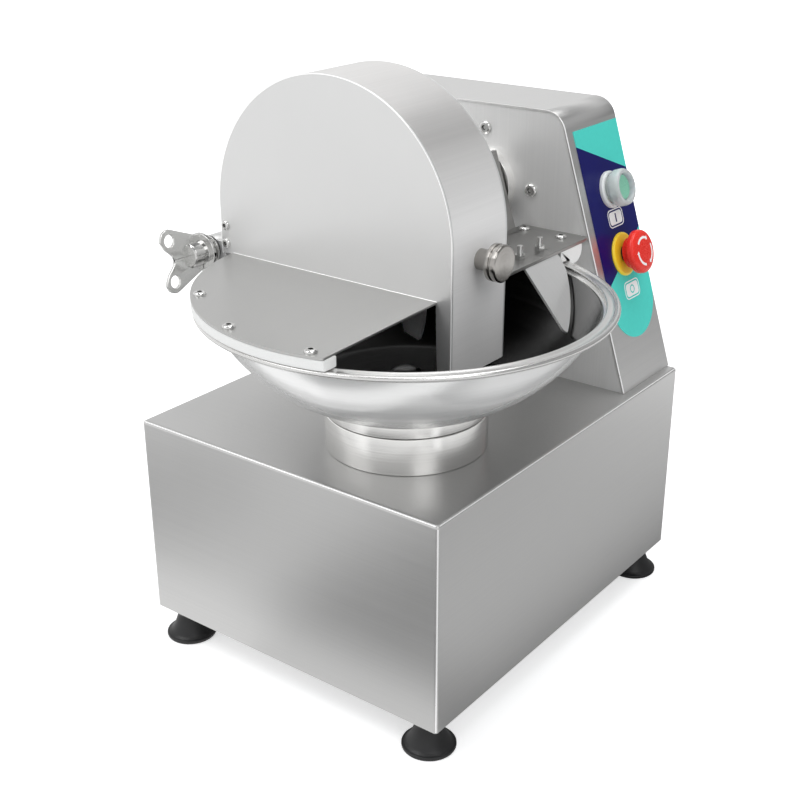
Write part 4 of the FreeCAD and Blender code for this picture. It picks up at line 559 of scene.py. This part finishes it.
# Drive tower: a wrapped skin with set-in front panel and rear cover, all of satin sheet.
# The grain runs up and down on the panels and round the skin.
SHEETS_X = (FINE, LONG, LONG)
tower_steel = ground_steel("Tower steel", (0.80, 0.797, 0.79), 0.32, LINES_Y, SHEETS_X, "Y", metal=0.92)
dress(tower_steel, 0.25, "tower_skin", "tower_rear_cover")
panel_steel = ground_steel("Panel steel", (0.84, 0.837, 0.83), 0.42, SHEETS_X, SHEETS_X, "Y", metal=0.5)
dress(panel_steel, 0.25, "tower_front_panel")

# Control label: a printed film on the sloping side, light green over dark blue over light
# green, with a round lower end.
SLOPE_FOOT_X = 151
SLOPE_TOP_X = 71.5
SLOPE_RISE = 248
LEAN = math.atan((SLOPE_FOOT_X - SLOPE_TOP_X) / SLOPE_RISE)
SLOPE_OUT = Vector((math.cos(LEAN), 0, math.sin(LEAN)))
SLOPE_UP = Vector((-math.sin(LEAN), 0, math.cos(LEAN)))
BUTTON_ROW = 157
SLOPE_FOOT = Vector((SLOPE_FOOT_X, BUTTON_ROW, DECK))


def on_slope(height, lift=0.0):
    """A place on the slope: local X runs back, local Y up the slope and local Z outward."""
    axes = Matrix((Vector((0, 1, 0)), SLOPE_UP, SLOPE_OUT)).transposed().to_4x4()
    spot = SLOPE_FOOT + SLOPE_UP * height + SLOPE_OUT * lift
    return Matrix.Translation(spot * MM) @ axes


def printed(name, colour, roughness=0.28):
    """Printed film: even colour under a smooth clear coat, with a faint orange peel."""
    material, nodes, shader = new_material(name)
    field = noise_field(nodes, own_place(nodes), (260.0, 260.0, 260.0), 2.0)
    tint(nodes, field, shader, colour, 0.02)
    relief(nodes, field, shader, 0.05, 0.0001)
    settled(shader, Roughness=roughness, Specular_IOR_Level=0.25)
    return material


light_green = printed("Light green film", (0.08, 0.69, 0.60))
dark_blue = printed("Dark blue film", (0.004, 0.005, 0.120))
white_print = printed("White print", (0.97, 0.98, 0.98))
LABEL_HALF = 39
LABEL_TOP = 241
LABEL_BEND = 81
FILM = 0.5


def kept_side(outline, start, stop, side):
    """The part of a flat outline on one side of a line."""
    line = Vector(stop) - Vector(start)
    result = []
    for k, here in enumerate(outline):
        onward = outline[(k + 1) % len(outline)]
        here_off = side * line.cross(Vector(here) - Vector(start))
        onward_off = side * line.cross(Vector(onward) - Vector(start))
        if here_off >= 0:
            result.append(here)
        if here_off * onward_off < 0:
            share = here_off / (here_off - onward_off)
            result.append(tuple(Vector(here).lerp(Vector(onward), share)))
    return result


def corners_at(shape, outline, height):
    """New corners of a bmesh, from a flat outline at a height."""
    return [shape.verts.new((x, y, height)) for x, y in outline]


def skinned(shape, rows):
    """Joins rows of corners one after another with faces."""
    for first, second in zip(rows, rows[1:]):
        for k in range(len(first)):
            n = (k + 1) % len(first)
            shape.faces.new((first[k], first[n], second[n], second[k]))


def capped(shape, rows):
    """Joins rows of corners and closes both ends."""
    skinned(shape, rows)
    return [shape.faces.new(rows[0]), shape.faces.new(rows[-1][::-1])]


def slab(shape, outline, low, high):
    """A flat piece of a bmesh, between two heights."""
    lower = corners_at(shape, outline, low)
    upper = corners_at(shape, outline, high)
    shape.faces.new(upper)
    shape.faces.new(lower[::-1])
    skinned(shape, [lower, upper])


def film(name, outline, material, matrix, low, high):
    """A thin flat piece from an outline, between two heights."""
    shape = bmesh.new()
    slab(shape, outline, low, high)
    bmesh.ops.triangulate(shape, faces=[f for f in shape.faces if len(f.verts) > 4])
    return finished(name, shape, material, matrix, 20)


def rounded_box(half_width, half_height, radius):
    """The outline of a rectangle with rounded corners."""
    points = []
    for corner_x, corner_y, start in ((1, 1, 0), (-1, 1, 90), (-1, -1, 180), (1, -1, 270)):
        points += arc(corner_x * (half_width - radius), corner_y * (half_height - radius),
                      radius, start, start + 90, 8)
    return points


label_outline = [(LABEL_HALF, LABEL_TOP), (-LABEL_HALF, LABEL_TOP)]
label_outline += arc(0, LABEL_BEND, LABEL_HALF, 180, 360, 48)
UPPER_LINE = ((-39, 227), (42, 193.5))
LOWER_LINE = ((-34, 97), (40, 139))
below_upper = kept_side(label_outline, *UPPER_LINE, -1)
label_parts = (
    ("label_upper", light_green, kept_side(label_outline, *UPPER_LINE, 1)),
    ("label_middle", dark_blue, kept_side(below_upper, *LOWER_LINE, 1)),
    ("label_lower", light_green, kept_side(label_outline, *LOWER_LINE, -1)),
)
for part_name, part_material, part_outline in label_parts:
    part = film(part_name, part_outline, part_material, on_slope(0), 0.02, FILM)
    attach(part, "machine")
    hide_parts("control_label")


def frame_print(name, outer, inner, material, matrix, low, high):
    """A thin printed line between two outlines with as many points."""
    shape = bmesh.new()
    rings = [corners_at(shape, outline, height)
             for outline, height in ((outer, low), (outer, high), (inner, high), (inner, low))]
    skinned(shape, rings + rings[:1])
    return finished(name, shape, material, matrix, 20)


PRINT_TOP = FILM + 0.1
SIGN_TOP = FILM + 0.18
PLATES = (("start", 154.7, dark_blue, 1, "bar"), ("stop", 86.4, light_green, 3, "ring"))
for word, height, ink, across, sign in PLATES:
    matrix = on_slope(height) @ Matrix.Translation(Vector((across, 0, 0)) * MM)
    pieces = [frame_print("plate_line_" + word, rounded_box(13.5, 8.4, 5.0), rounded_box(12.5, 7.4, 4.1),
                          white_print, matrix, FILM, PRINT_TOP),
              film("plate_" + word, rounded_box(11.0, 6.0, 3.2), white_print, matrix, FILM, PRINT_TOP)]
    if sign == "bar":
        pieces.append(film("plate_sign_" + word, rounded_box(1.0, 4.0, 0.3), ink, matrix,
                           PRINT_TOP, SIGN_TOP))
    else:
        pieces.append(frame_print("plate_sign_" + word, rounded_box(4.0, 4.0, 3.99),
                                  rounded_box(2.8, 2.8, 2.79), ink, matrix, PRINT_TOP, SIGN_TOP))
    for piece in pieces:
        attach(piece, "machine")

# Start button: a clear silicone boot over a green cap, in a white nut on the label.
START_HEIGHT = 181
boot_clear, nodes, shader = new_material("Clear silicone")
boot_field = noise_field(nodes, own_place(nodes), (180.0, 180.0, 180.0), 3.0)
tint(nodes, boot_field, shader, (0.95, 0.98, 0.97), 0.03)
relief(nodes, boot_field, shader, 0.08, 0.0004)
settled(shader, Roughness=0.16, IOR=1.41, Transmission_Weight=0.55)
green_cap = moulded("Green cap", (0.24, 0.58, 0.42), 0.3)
white_nylon = moulded("White nylon", (0.80, 0.82, 0.81), 0.38)
start_place = on_slope(START_HEIGHT)
bezel_profile = softened([(13.4, -6), (9, -6), (9, -16), (15, -16), (15, FILM), (17, FILM), (17, 3.6),
                          (15.6, 5), (13.4, 5)], 0.6)
bezel = turned("start_nut", bezel_profile, white_nylon, start_place, 96)
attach(bezel, "machine")
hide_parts("start_bezel")
boot_profile = softened([(11.6, -1), (13, -1), (13, 8.2), (15.8, 8.2), (17, 9.8), (17, 16.6),
                         (15.8, 19.3), (13.2, 19.5), (12.0, 17.4), (11.6, 15.0)], 0.9)
boot = turned("start_boot", boot_profile, boot_clear, start_place, 96)
cap_profile = softened([(0, -12.5), (4, -12.5), (4, -2), (11.5, -2), (11.5, 15.2), (10.2, 15.9),
                        (8.6, 15.4), (0, 15.0)], 0.6)
cap = turned("start_cap", cap_profile, green_cap, start_place, 72)
for piece in (boot, cap):
    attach(piece, "start")
    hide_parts("start_button")

# Stop button: a red mushroom head on a black stem, over a yellow collar. The head turns to
# let go, as its white arrows show.
STOP_HEIGHT = 120.5
stop_place = on_slope(STOP_HEIGHT)
yellow_plastic = moulded("Yellow plastic", (1.0, 0.70, 0.03), 0.34, 0.15, 0.02)
red_plastic = moulded("Red plastic", (0.86, 0.026, 0.014), 0.28, 0.12, 0.03)
black_plastic = moulded("Black plastic", (0.015, 0.015, 0.016), 0.35)
stop_profile = softened([(8.1, -16), (11, -16), (11, FILM), (20.2, FILM), (20.2, 2.0),
                         (18.5, 3.4), (8.1, 3.4)], 0.6)
stop_ring = turned("stop_collar_ring", stop_profile, yellow_plastic, stop_place, 96)
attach(stop_ring, "machine")
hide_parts("stop_collar")
stem_profile = softened([(0, -10), (8, -10), (8, 10.5), (6, 10.5), (6, 18.5), (0, 18.5)], 0.4)
stem = turned("stop_plunger", stem_profile, black_plastic, stop_place, 48)
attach(stem, "stop_slider")
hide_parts("stop_stem")
head_profile = softened([(8.3, 7.8), (14.2, 7.8), (14.4, 13.0), (16.6, 14.4), (20, 15.8), (20, 20.0),
                         (19.0, 21.9), (17, 23.0), (13.5, 23.7), (8.0, 23.95), (0, 24.0), (0, 18.8),
                         (6.06, 18.8), (6.06, 10.7), (8.3, 10.7)], 0.9)
stop_knob = turned("stop_mushroom", head_profile, red_plastic, stop_place, 96)
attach(stop_knob, "stop_knob")
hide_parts("stop_head")
ARROW_RADIUS = 12.4
ARROW_HALF = 1.1
ARROW_HEAD = 2.2
ARROW_TOP = 23.74
ARROW_STEPS = 18


def round_knob(radius, angle):
    """A point at a radius and an angle in radians on the head."""
    return (radius * math.cos(angle), radius * math.sin(angle))


def turn_arrow(name, start, sweep, matrix):
    """A bent arrow round the head, drawn as a thin raised strip."""
    shape = bmesh.new()
    section = ((-ARROW_HALF, -0.5), (-ARROW_HALF, 0.12), (ARROW_HALF, 0.02), (ARROW_HALF, -0.5))
    rows = []
    for k in range(ARROW_STEPS + 1):
        angle = math.radians(start + sweep * k / ARROW_STEPS)
        rows.append([shape.verts.new(round_knob(ARROW_RADIUS + off, angle)
                                     + (ARROW_TOP - abs(off) * 0.02 + z,)) for off, z in section])
    capped(shape, rows)
    tip = math.radians(start + sweep * 1.12)
    back = math.radians(start + sweep * 0.985)
    head = [round_knob(ARROW_RADIUS - ARROW_HEAD, back), round_knob(ARROW_RADIUS + ARROW_HEAD, back),
            round_knob(ARROW_RADIUS, tip)]
    slab(shape, head, ARROW_TOP - 0.9, ARROW_TOP + 0.1)
    return finished(name, shape, white_print, matrix, 20)


for count, start in enumerate((20, 140, 260)):
    arrow = turn_arrow("stop_arrow_%d" % (count + 1), start, -80, stop_place)
    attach(arrow, "stop_knob")

# Knife hood: a drum of satin sheet, its edges ground round after welding and left bright.
hood_steel = ground_steel("Hood steel", (0.76, 0.758, 0.752), 0.35, (LONG, FINE, LONG),
                          (LONG, LONG, FINE), "Y", metal=0.52)
HOOD_ARCH = (-12, 401)
HOOD_BEND = 122
HOOD_SHEET = 2
HOOD_FOOT = 358
LEG_FOOT = 294.5
LEG_INSIDE = 96
HOOD_FRONT = -112
HOOD_REAR = -36
SPINDLE_AXIS = (-8, 395)
SLOT_RADIUS = 19


def evened(item):
    """The same piece, its flat faces shaded flat up to their rounded rims."""
    item.modifiers.new("Even shading", "WEIGHTED_NORMAL").keep_sharp = True
    return item


def plate(name, outline, low, high, edge, material, matrix, both_rims=True):
    """A flat sheet from an outline, between two heights, its rims rounded."""
    shape = bmesh.new()
    top = corners_at(shape, outline, high)
    upper = shape.faces.new(top)
    bottom = corners_at(shape, outline, low)
    lower = shape.faces.new(bottom[::-1])
    skinned(shape, [bottom, top])
    rims = list(upper.edges) + (list(lower.edges) if both_rims else [])
    bmesh.ops.bevel(shape, geom=rims, offset=edge, segments=3, profile=0.5, affect="EDGES")
    return evened(finished(name, shape, material, matrix, 50))


def hood_arch(inset):
    """The drum's outline from the foot of its right wall over to the left, drawn in."""
    bend = HOOD_BEND - inset
    return ([(HOOD_ARCH[0] + bend, LEG_FOOT)] + arc(HOOD_ARCH[0], HOOD_ARCH[1], bend, 0, 180, 96)
            + [(HOOD_ARCH[0] - bend, HOOD_FOOT)])


upright = Matrix.Rotation(math.radians(90), 4, "X")
leg_inside = [(LEG_INSIDE, HOOD_FOOT), (LEG_INSIDE, LEG_FOOT)]
slot_outline = [(SPINDLE_AXIS[0] + SLOT_RADIUS, HOOD_FOOT)]
slot_outline += arc(SPINDLE_AXIS[0], SPINDLE_AXIS[1], SLOT_RADIUS, 0, 180, 32)
slot_outline += [(SPINDLE_AXIS[0] - SLOT_RADIUS, HOOD_FOOT)]
rear_outline = [(-x, y) for x, y in (hood_arch(0) + slot_outline[::-1] + leg_inside)[::-1]]
hood_pieces = [
    plate("hood_front_sheet", hood_arch(0) + leg_inside, -HOOD_FRONT - HOOD_SHEET, -HOOD_FRONT, 0.9,
          hood_steel, upright, False),
    plate("hood_rear_sheet", rear_outline, HOOD_REAR - HOOD_SHEET, HOOD_REAR, 0.9,
          hood_steel, Matrix.Rotation(math.pi, 4, "Z") @ upright, False),
]
shape = bmesh.new()
drum_front = HOOD_FRONT + HOOD_SHEET
drum_rear = HOOD_REAR - HOOD_SHEET
rows = []
for outer, inner in zip(hood_arch(0), hood_arch(HOOD_SHEET)):
    section = ((outer, drum_front), (outer, drum_rear), (inner, drum_rear), (inner, drum_front))
    rows.append([shape.verts.new((x, y, z)) for (x, z), y in section])
capped(shape, rows)
drum_steel = ground_steel("Drum steel", (0.92, 0.91, 0.90), 0.40, LINES_Y, LINES_Y, "Y")
DRUM_TONES = (0.41, 0.48, 0.0, 0.92)
nodes = drum_steel.node_tree.nodes
join(spread(nodes, axes_of(nodes, own_place(nodes))["Z"], *DRUM_TONES),
     nodes["Principled BSDF"].inputs["Metallic"])
hood_pieces.append(finished("hood_drum_sheet", shape, drum_steel, at(0, 0, 0), 50))
for piece in hood_pieces:
    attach(piece, "hood")
    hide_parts("hood_shell")

# Skirt plate: flat satin sheet welded to the foot of the hood, over the front of the bowl.
SKIRT_RADIUS = 172.5
SKIRT_START = 187.33
SKIRT_SWEEP = 287.55 - 187.33
SKIRT_STEPS = 60
SKIRT_TOP = HOOD_FOOT + 2


def round_bowl(radius, angle):
    """A point at a radius and an angle about the bowl's axis."""
    return (BOWL_AXIS[0] + radius * math.cos(math.radians(angle)),
            BOWL_AXIS[1] + radius * math.sin(math.radians(angle)))


skirt_outline = [round_bowl(SKIRT_RADIUS, SKIRT_START + SKIRT_SWEEP * k / SKIRT_STEPS)
                 for k in range(SKIRT_STEPS + 1)]
skirt_outline.append((LEG_INSIDE, HOOD_FRONT))
# Painted shade: the skirt's steel is painted darker than the hood's.
shaded_skirt_steel = ground_steel("Skirt steel, painted dark", (0.52, 0.518, 0.51), 0.32, LINES_Y, LINES_Y, "Y")
skirt = plate("skirt_sheet", skirt_outline, HOOD_FOOT, SKIRT_TOP, 0.5, shaded_skirt_steel, at(0, 0, 0))
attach(skirt, "hood")
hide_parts("skirt_plate")

# Front strip: white acetal, milled to the curve of the rim and screwed under the skirt.
white_acetal = moulded("White acetal", (0.93, 0.93, 0.915), 0.42, 0.2, 0.03)


def curved_bar(name, section, start, cut, steps, material):
    """A bar bent about the bowl's axis, from an angle to a straight cut across X."""
    shape = bmesh.new()
    rows = []
    for k in range(steps + 1):
        row = []
        for radius, height in section:
            stop = math.degrees(math.acos((cut - BOWL_AXIS[0]) / radius))
            stop = stop if start < 180 else 360 - stop
            x, y = round_bowl(radius, start + (stop - start) * k / steps)
            row.append(shape.verts.new((x, y, height)))
        rows.append(row)
    bmesh.ops.triangulate(shape, faces=capped(shape, rows))
    return evened(finished(name, shape, material, at(0, 0, 0), 50))


STRIP_INSIDE = 159.5
STRIP_LOW = 349.6
STRIP_START = 188.33
STRIP_CUT = 102
strip_section = softened([(STRIP_INSIDE, STRIP_LOW), (SKIRT_RADIUS, STRIP_LOW), (SKIRT_RADIUS, HOOD_FOOT),
                          (STRIP_INSIDE, HOOD_FOOT)], 1.2)
strip = curved_bar("skirt_strip", strip_section, STRIP_START, STRIP_CUT, 72, white_acetal)
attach(strip, "hood")
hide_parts("front_strip")

# Screws of the hood and the bracket: stainless button heads with hexagon sockets, and two
# studs with nuts that hold the scraper. Painted shade darkens the sockets.
def fastener_steel(name, colour, roughness, reach):
    """Bright fastener steel with painted shade: darker where its recesses close in."""
    material, nodes, shader = new_material(name)
    field = noise_field(nodes, own_place(nodes), (600.0, 600.0, 600.0), 3.0)
    # Painted shade in the recesses, from local occlusion.
    socket_shade_occlusion = nodes.new("ShaderNodeAmbientOcclusion")
    settled(socket_shade_occlusion, Distance=reach * MM)
    socket_shade_occlusion.only_local = True
    unshaded_share = spread(nodes, socket_shade_occlusion.outputs["AO"], 0.35, 0.8, 0.06, 1.0)
    painted_shade = nodes.new("ShaderNodeMix")
    painted_shade.data_type = "RGBA"
    settled(painted_shade, A=(0.01, 0.01, 0.01, 1), B=tuple(colour) + (1,))
    clean_share = spread(nodes, field, 0.3, 0.7, 0.94, 1.0)
    join(reckoned(nodes, "MULTIPLY", unshaded_share, clean_share), painted_shade.inputs["Factor"])
    join(painted_shade.outputs["Result"], shader.inputs["Base Color"])
    roughened(nodes, field, shader, roughness - 0.03, roughness + 0.05)
    settled(shader, Metallic=1.0)
    return material


screw_steel = fastener_steel("Screw steel", (0.72, 0.72, 0.71), 0.17, 2.5)
dress(screw_steel, 0.15, "hood_screws", "bracket_screws", "housing_screws")

# Hinge of the hood: two welded knuckles on a fixed rod, an arm that carries the rod on the
# tower, and a bright washer with a black rubber ring in front.
dress(hood_steel, 0.5, "hinge_knuckles", "hinge_bracket")
HINGE = (-150, 358)


def along_y(x, z):
    """A place whose local Z runs back through the machine."""
    return at(x, 0, z) @ Matrix.Rotation(math.radians(-90), 4, "X")


bright_steel = lathe_metal("Bright turned steel", (0.62, 0.62, 0.61), 0.13, 700.0, 0.15, 0.05, 0.3)
HINGE_RINGS = (
    ("hinge_rod_turned", (0, 7), (-136.4, 108), 0.6, bright_steel, 64, "hinge_rod", "polished_steel"),
    ("hinge_washer_front", (7.06, 13), (-114.2, -112.3), 0.4, bright_steel, 72, "hinge_washers",
     "polished_steel"),
    ("hinge_rubber_ring", (7.06, 12), (-112.1, -110.2), 0.8, black_rubber, 72, "hinge_washers",
     "black_rubber"),
)
for name, (bore, radius), (front, rear), soft, material, steps, node_name, slot in HINGE_RINGS:
    ring_outline = softened([(bore, front), (radius, front), (radius, rear), (bore, rear)], soft)
    piece = turned(name, ring_outline, material, along_y(*HINGE), steps)
    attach(piece, "machine")
    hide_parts(node_name)

# Wing nut: a flanged barrel turned from bar, with a pressed plate through it whose two round
# lobes are drilled. Polished stainless.
WING_FRONT = -138.4
WING_TURN = math.radians(-7)
wing_place = at(HINGE[0], WING_FRONT, HINGE[1]) @ Matrix.Rotation(WING_TURN, 4, "Y")
barrel_profile = softened([(7.06, 2), (7.06, 24), (11, 24), (11, 18.6), (17, 18.3), (17, 15.2), (11, 15),
                           (11, 1.4), (9.6, 0), (0, 0), (0, 2)], 0.5)
barrel = turned("wing_nut_barrel", barrel_profile, bright_steel,
                wing_place @ Matrix.Rotation(math.radians(-90), 4, "X"), 72)
LOBE_RADIUS = 10
LOBE_SPOT = (-19, 17.8)
LOBE_EYE = 5.5
WING_SHEET = 3


def wing_plate(side):
    """One lobe of the plate, drawn along the nut's axis and out to the side."""
    flare = math.atan2(5.8, 34)
    outer = [(15, 0), (15, 15), (LOBE_SPOT[0] + LOBE_RADIUS * math.sin(flare),
                                 LOBE_SPOT[1] + LOBE_RADIUS * math.cos(flare))]
    outer += arc(LOBE_SPOT[0], LOBE_SPOT[1], LOBE_RADIUS, 95, 180, 14)
    outer += [(-24.5, 10.5), (-19.6, 6.2), (-17.2, 3.4), (-16, 0)]
    hole = arc(LOBE_SPOT[0], LOBE_SPOT[1], LOBE_EYE, 0, 360 - 360 / 32, 31)
    shape = bmesh.new()
    edges = []
    for loop in (outer, hole):
        corners = [shape.verts.new((0, y, z * side)) for y, z in loop]
        for k in range(len(corners)):
            edges.append(shape.edges.new((corners[k], corners[(k + 1) % len(corners)])))
    bmesh.ops.triangle_fill(shape, edges=edges, use_beauty=True)
    for vert in shape.verts:
        vert.co.x -= WING_SHEET / 2
    grown = bmesh.ops.extrude_face_region(shape, geom=list(shape.faces))
    bmesh.ops.translate(shape, vec=(WING_SHEET, 0, 0),
                        verts=[v for v in grown["geom"] if isinstance(v, bmesh.types.BMVert)])
    bmesh.ops.recalc_face_normals(shape, faces=shape.faces)
    rims = [e for e in shape.edges if e.is_manifold and e.calc_face_angle() > math.radians(80) and (
        abs(e.verts[0].co.z) > 1 or abs(e.verts[1].co.z) > 1)]
    bmesh.ops.bevel(shape, geom=rims, offset=0.6, segments=3, profile=0.5, affect="EDGES")
    lobe_name = "wing_nut_lobe_%s" % ("upper" if side > 0 else "lower")
    return evened(finished(lobe_name, shape, wing_steel, wing_place, 50))


# Painted shade darkens the recesses of the wing nut's lobes.
wing_steel = fastener_steel("Wing nut steel", (0.80, 0.80, 0.79), 0.2, 3.0)
for piece in (barrel, wing_plate(1), wing_plate(-1)):
    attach(piece, "clamp_nut")
    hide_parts("wing_nut")

# Lifting knob: turned from bright bar with a groove in its rim, and screwed to the right
# wall of the hood.
KNOB_SPOT = (110, -74, 388)
knob_place = at(*KNOB_SPOT) @ Matrix.Rotation(math.radians(90), 4, "Y")
knob_profile = softened([(0, -6), (4, -6), (4, 0), (8.5, 0), (8.5, 12.2), (14, 12.2), (15, 13.0), (15, 16.2),
                         (13.8, 16.8), (13.8, 17.6), (15, 18.2), (15, 22), (14, 23), (0, 22.7)], 0.35)
# Painted reflection: the knob's steel is given a dark colour for the dark reflection in its end face.
darkened_knob_steel = lathe_metal("Knob steel, painted dark", (0.42, 0.405, 0.385), 0.20, 600.0, 0.2, 0.12, 0.6)
knob = turned("lifting_knob_turned", knob_profile, darkened_knob_steel, knob_place, 96)
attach(knob, "hood")
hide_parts("lifting_knob")

# Bright edges: lines left by grinding and polishing where sheets were folded or welded, along
# the base box, the tower and the hood. Their steel also glows faintly, a painted highlight.
def even_metal(name, colour, roughness, lines, metal=1.0):
    """Ground metal with the same grain all ways, in lines to the metre."""
    return ground_steel(name, colour, roughness, (lines,) * 3, (lines,) * 3, "X", metal=metal)


# Painted highlight: the edge steel glows faintly, though it is no lamp.
glowing_edge_steel = even_metal("Edge steel with painted glow", (0.93, 0.93, 0.925), 0.30, FINE, 0.7)
settled(glowing_edge_steel.node_tree.nodes["Principled BSDF"], Emission_Color=(1, 1, 1, 1), Emission_Strength=0.25)


def edge_line(name, points, half, body, sides=10):
    """A thin round strip laid along an edge."""
    shape = bmesh.new()
    spots = [Vector(point) for point in points]
    rows = []
    for k, spot in enumerate(spots):
        along = (spots[min(k + 1, len(spots) - 1)] - spots[max(k - 1, 0)]).normalized()
        across = along.orthogonal() if k == 0 else across - along * across.dot(along)
        across = across.normalized()
        up = along.cross(across)
        angles = [2 * math.pi * n / sides for n in range(sides)]
        rows.append([shape.verts.new(spot + half * (across * math.cos(angle) + up * math.sin(angle)))
                     for angle in angles])
    capped(shape, rows)
    item = finished(name, shape, glowing_edge_steel, at(0, 0, 0), 60)
    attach(item, body)


BOX_RIGHT = 159.0
BOX_FRONT = -196.0
BOX_TOP = 220.0
edge_line("deck_front_edge", [(-157, BOX_FRONT, BOX_TOP), (157, BOX_FRONT, BOX_TOP)], 0.55, "machine")
edge_line("deck_right_edge", [(BOX_RIGHT, -194, BOX_TOP), (BOX_RIGHT, 194, BOX_TOP)], 0.45, "machine")
edge_line("box_corner_edge", [(BOX_RIGHT, BOX_FRONT, 218), (BOX_RIGHT, BOX_FRONT, 33)], 0.6, "machine")
edge_line("hood_front_edge", [(x, HOOD_FRONT + 0.5, z) for x, z in hood_arch(0.5)], 0.6, "hood")
edge_line("skirt_weld", [(-120.4, HOOD_FRONT, SKIRT_TOP), (95.6, HOOD_FRONT, SKIRT_TOP)], 0.28, "hood")
TOWER_CORNER = (56.2, 448)
TOWER_EDGE = 20.6
TOWER_FRONT = 107.3
tower_edge = [(SLOPE_FOOT_X - 0.42, TOWER_FRONT, DECK + 1)]
tower_edge += [(x, TOWER_FRONT, z) for x, z in arc(*TOWER_CORNER, TOWER_EDGE, math.degrees(LEAN), 50, 8)]
edge_line("tower_front_edge", tower_edge, 0.5, "machine")

# Rear bracket: dull ground plate with an upright web, screwed to the tower's front panel.
# The scraper blade under it is satin sheet, folded out and down along the bowl's wall.
bracket_steel = ground_steel("Bracket steel", (0.33, 0.327, 0.32), 0.30, LINES_X, LINES_Y, "X")
dress(bracket_steel, 0.4, "rear_bracket")
dress(hood_steel, 0, "scraper")

# Rear block: white acetal, screwed under the bracket. Its lip hangs outside the rim.
block_section = softened([(STRIP_INSIDE, STRIP_LOW), (174.64, STRIP_LOW), (174.64, 344.0), (184, 344.0)],
                         1.0, False)
block_section += arc(184, 354, 10, -81, 0, 10)
block_section += [(194, 358), (193, 359), (160.5, 359), (STRIP_INSIDE, 358)]
block = curved_bar("rear_block", block_section, 93, 105, 40, white_acetal)
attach(block, "machine")
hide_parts("rear_strip")

# Spindle housing: turned aluminium, pushed through the tower's front panel and screwed to
# it from the front through the flange.
housing_profile = softened([(23.5, -30), (27, -30), (27, 97), (34, 97), (34, 110), (62, 110), (62, 118),
                            (34, 118), (34, 138), (23.5, 138), (23.5, 124), (14, 124), (14, -14),
                            (23.5, -14)], 0.6)
housing = turned("spindle_housing_turned", housing_profile, turned_aluminium, along_y(*SPINDLE_AXIS), 120)
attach(housing, "machine")
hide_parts("spindle_housing")

# Knives: three sickle blades of polished knife steel, between white spacers and a turned
# nut on the spindle.
blade_steel = ground_steel("Knife steel", (0.92, 0.92, 0.915), 0.34, LINES_Y, LINES_Y, "Y", metal=0.25)
dress(blade_steel, 0.3, "knife_1", "knife_2", "knife_3")
dress(white_acetal, 0.4, "knife_spacers")
dress(bright_steel, 0.4, "knife_nut")

# Shafts and rotor: dull ground steel, with the pulleys and the run capacitor of aluminium.
shaft_steel = even_metal("Shaft steel", (0.30, 0.30, 0.31), 0.35, FINE)
dress(shaft_steel, 0.3, "knife_spindle", "bowl_shaft", "worm_shaft", "motor_rotor")
pulley_alloy = even_metal("Pulley alloy", (0.55, 0.55, 0.54), 0.33, 300.0)
dress(pulley_alloy, 0.3, "spindle_pulley", "motor_pulleys", "worm_pulley", "run_capacitor")
race_steel = even_metal("Bearing race steel", (0.58, 0.58, 0.60), 0.15, 800.0)
dress(race_steel, 0.3, "bowl_drive_bearings", "spindle_bearings")

# Cast pieces of the drive: motor casing, gearbox and its cover, in grey-blue paint over a
# sand-cast skin. The worm wheel has a bronze rim.
cast_paint = moulded("Casting paint", (0.045, 0.055, 0.07), 0.45, 0.9, 0.12)
dress(cast_paint, 0.8, "motor_casing", "gearbox_housing", "gearbox_cover")
bronze_metal = even_metal("Gear bronze", (0.50, 0.30, 0.12), 0.32, 500.0)
dress(bronze_metal, 0.3, "worm_wheel")

# Belts and electrical pieces: rubber V belts, and moulded black plastic for the contactor,
# the switch blocks, the hood switch and the cable gland.
dress(black_rubber, 0.5, "bowl_belt", "knife_belt")
dress(black_plastic, 0.5, "contactor", "switch_blocks", "hood_switch", "cable_gland")
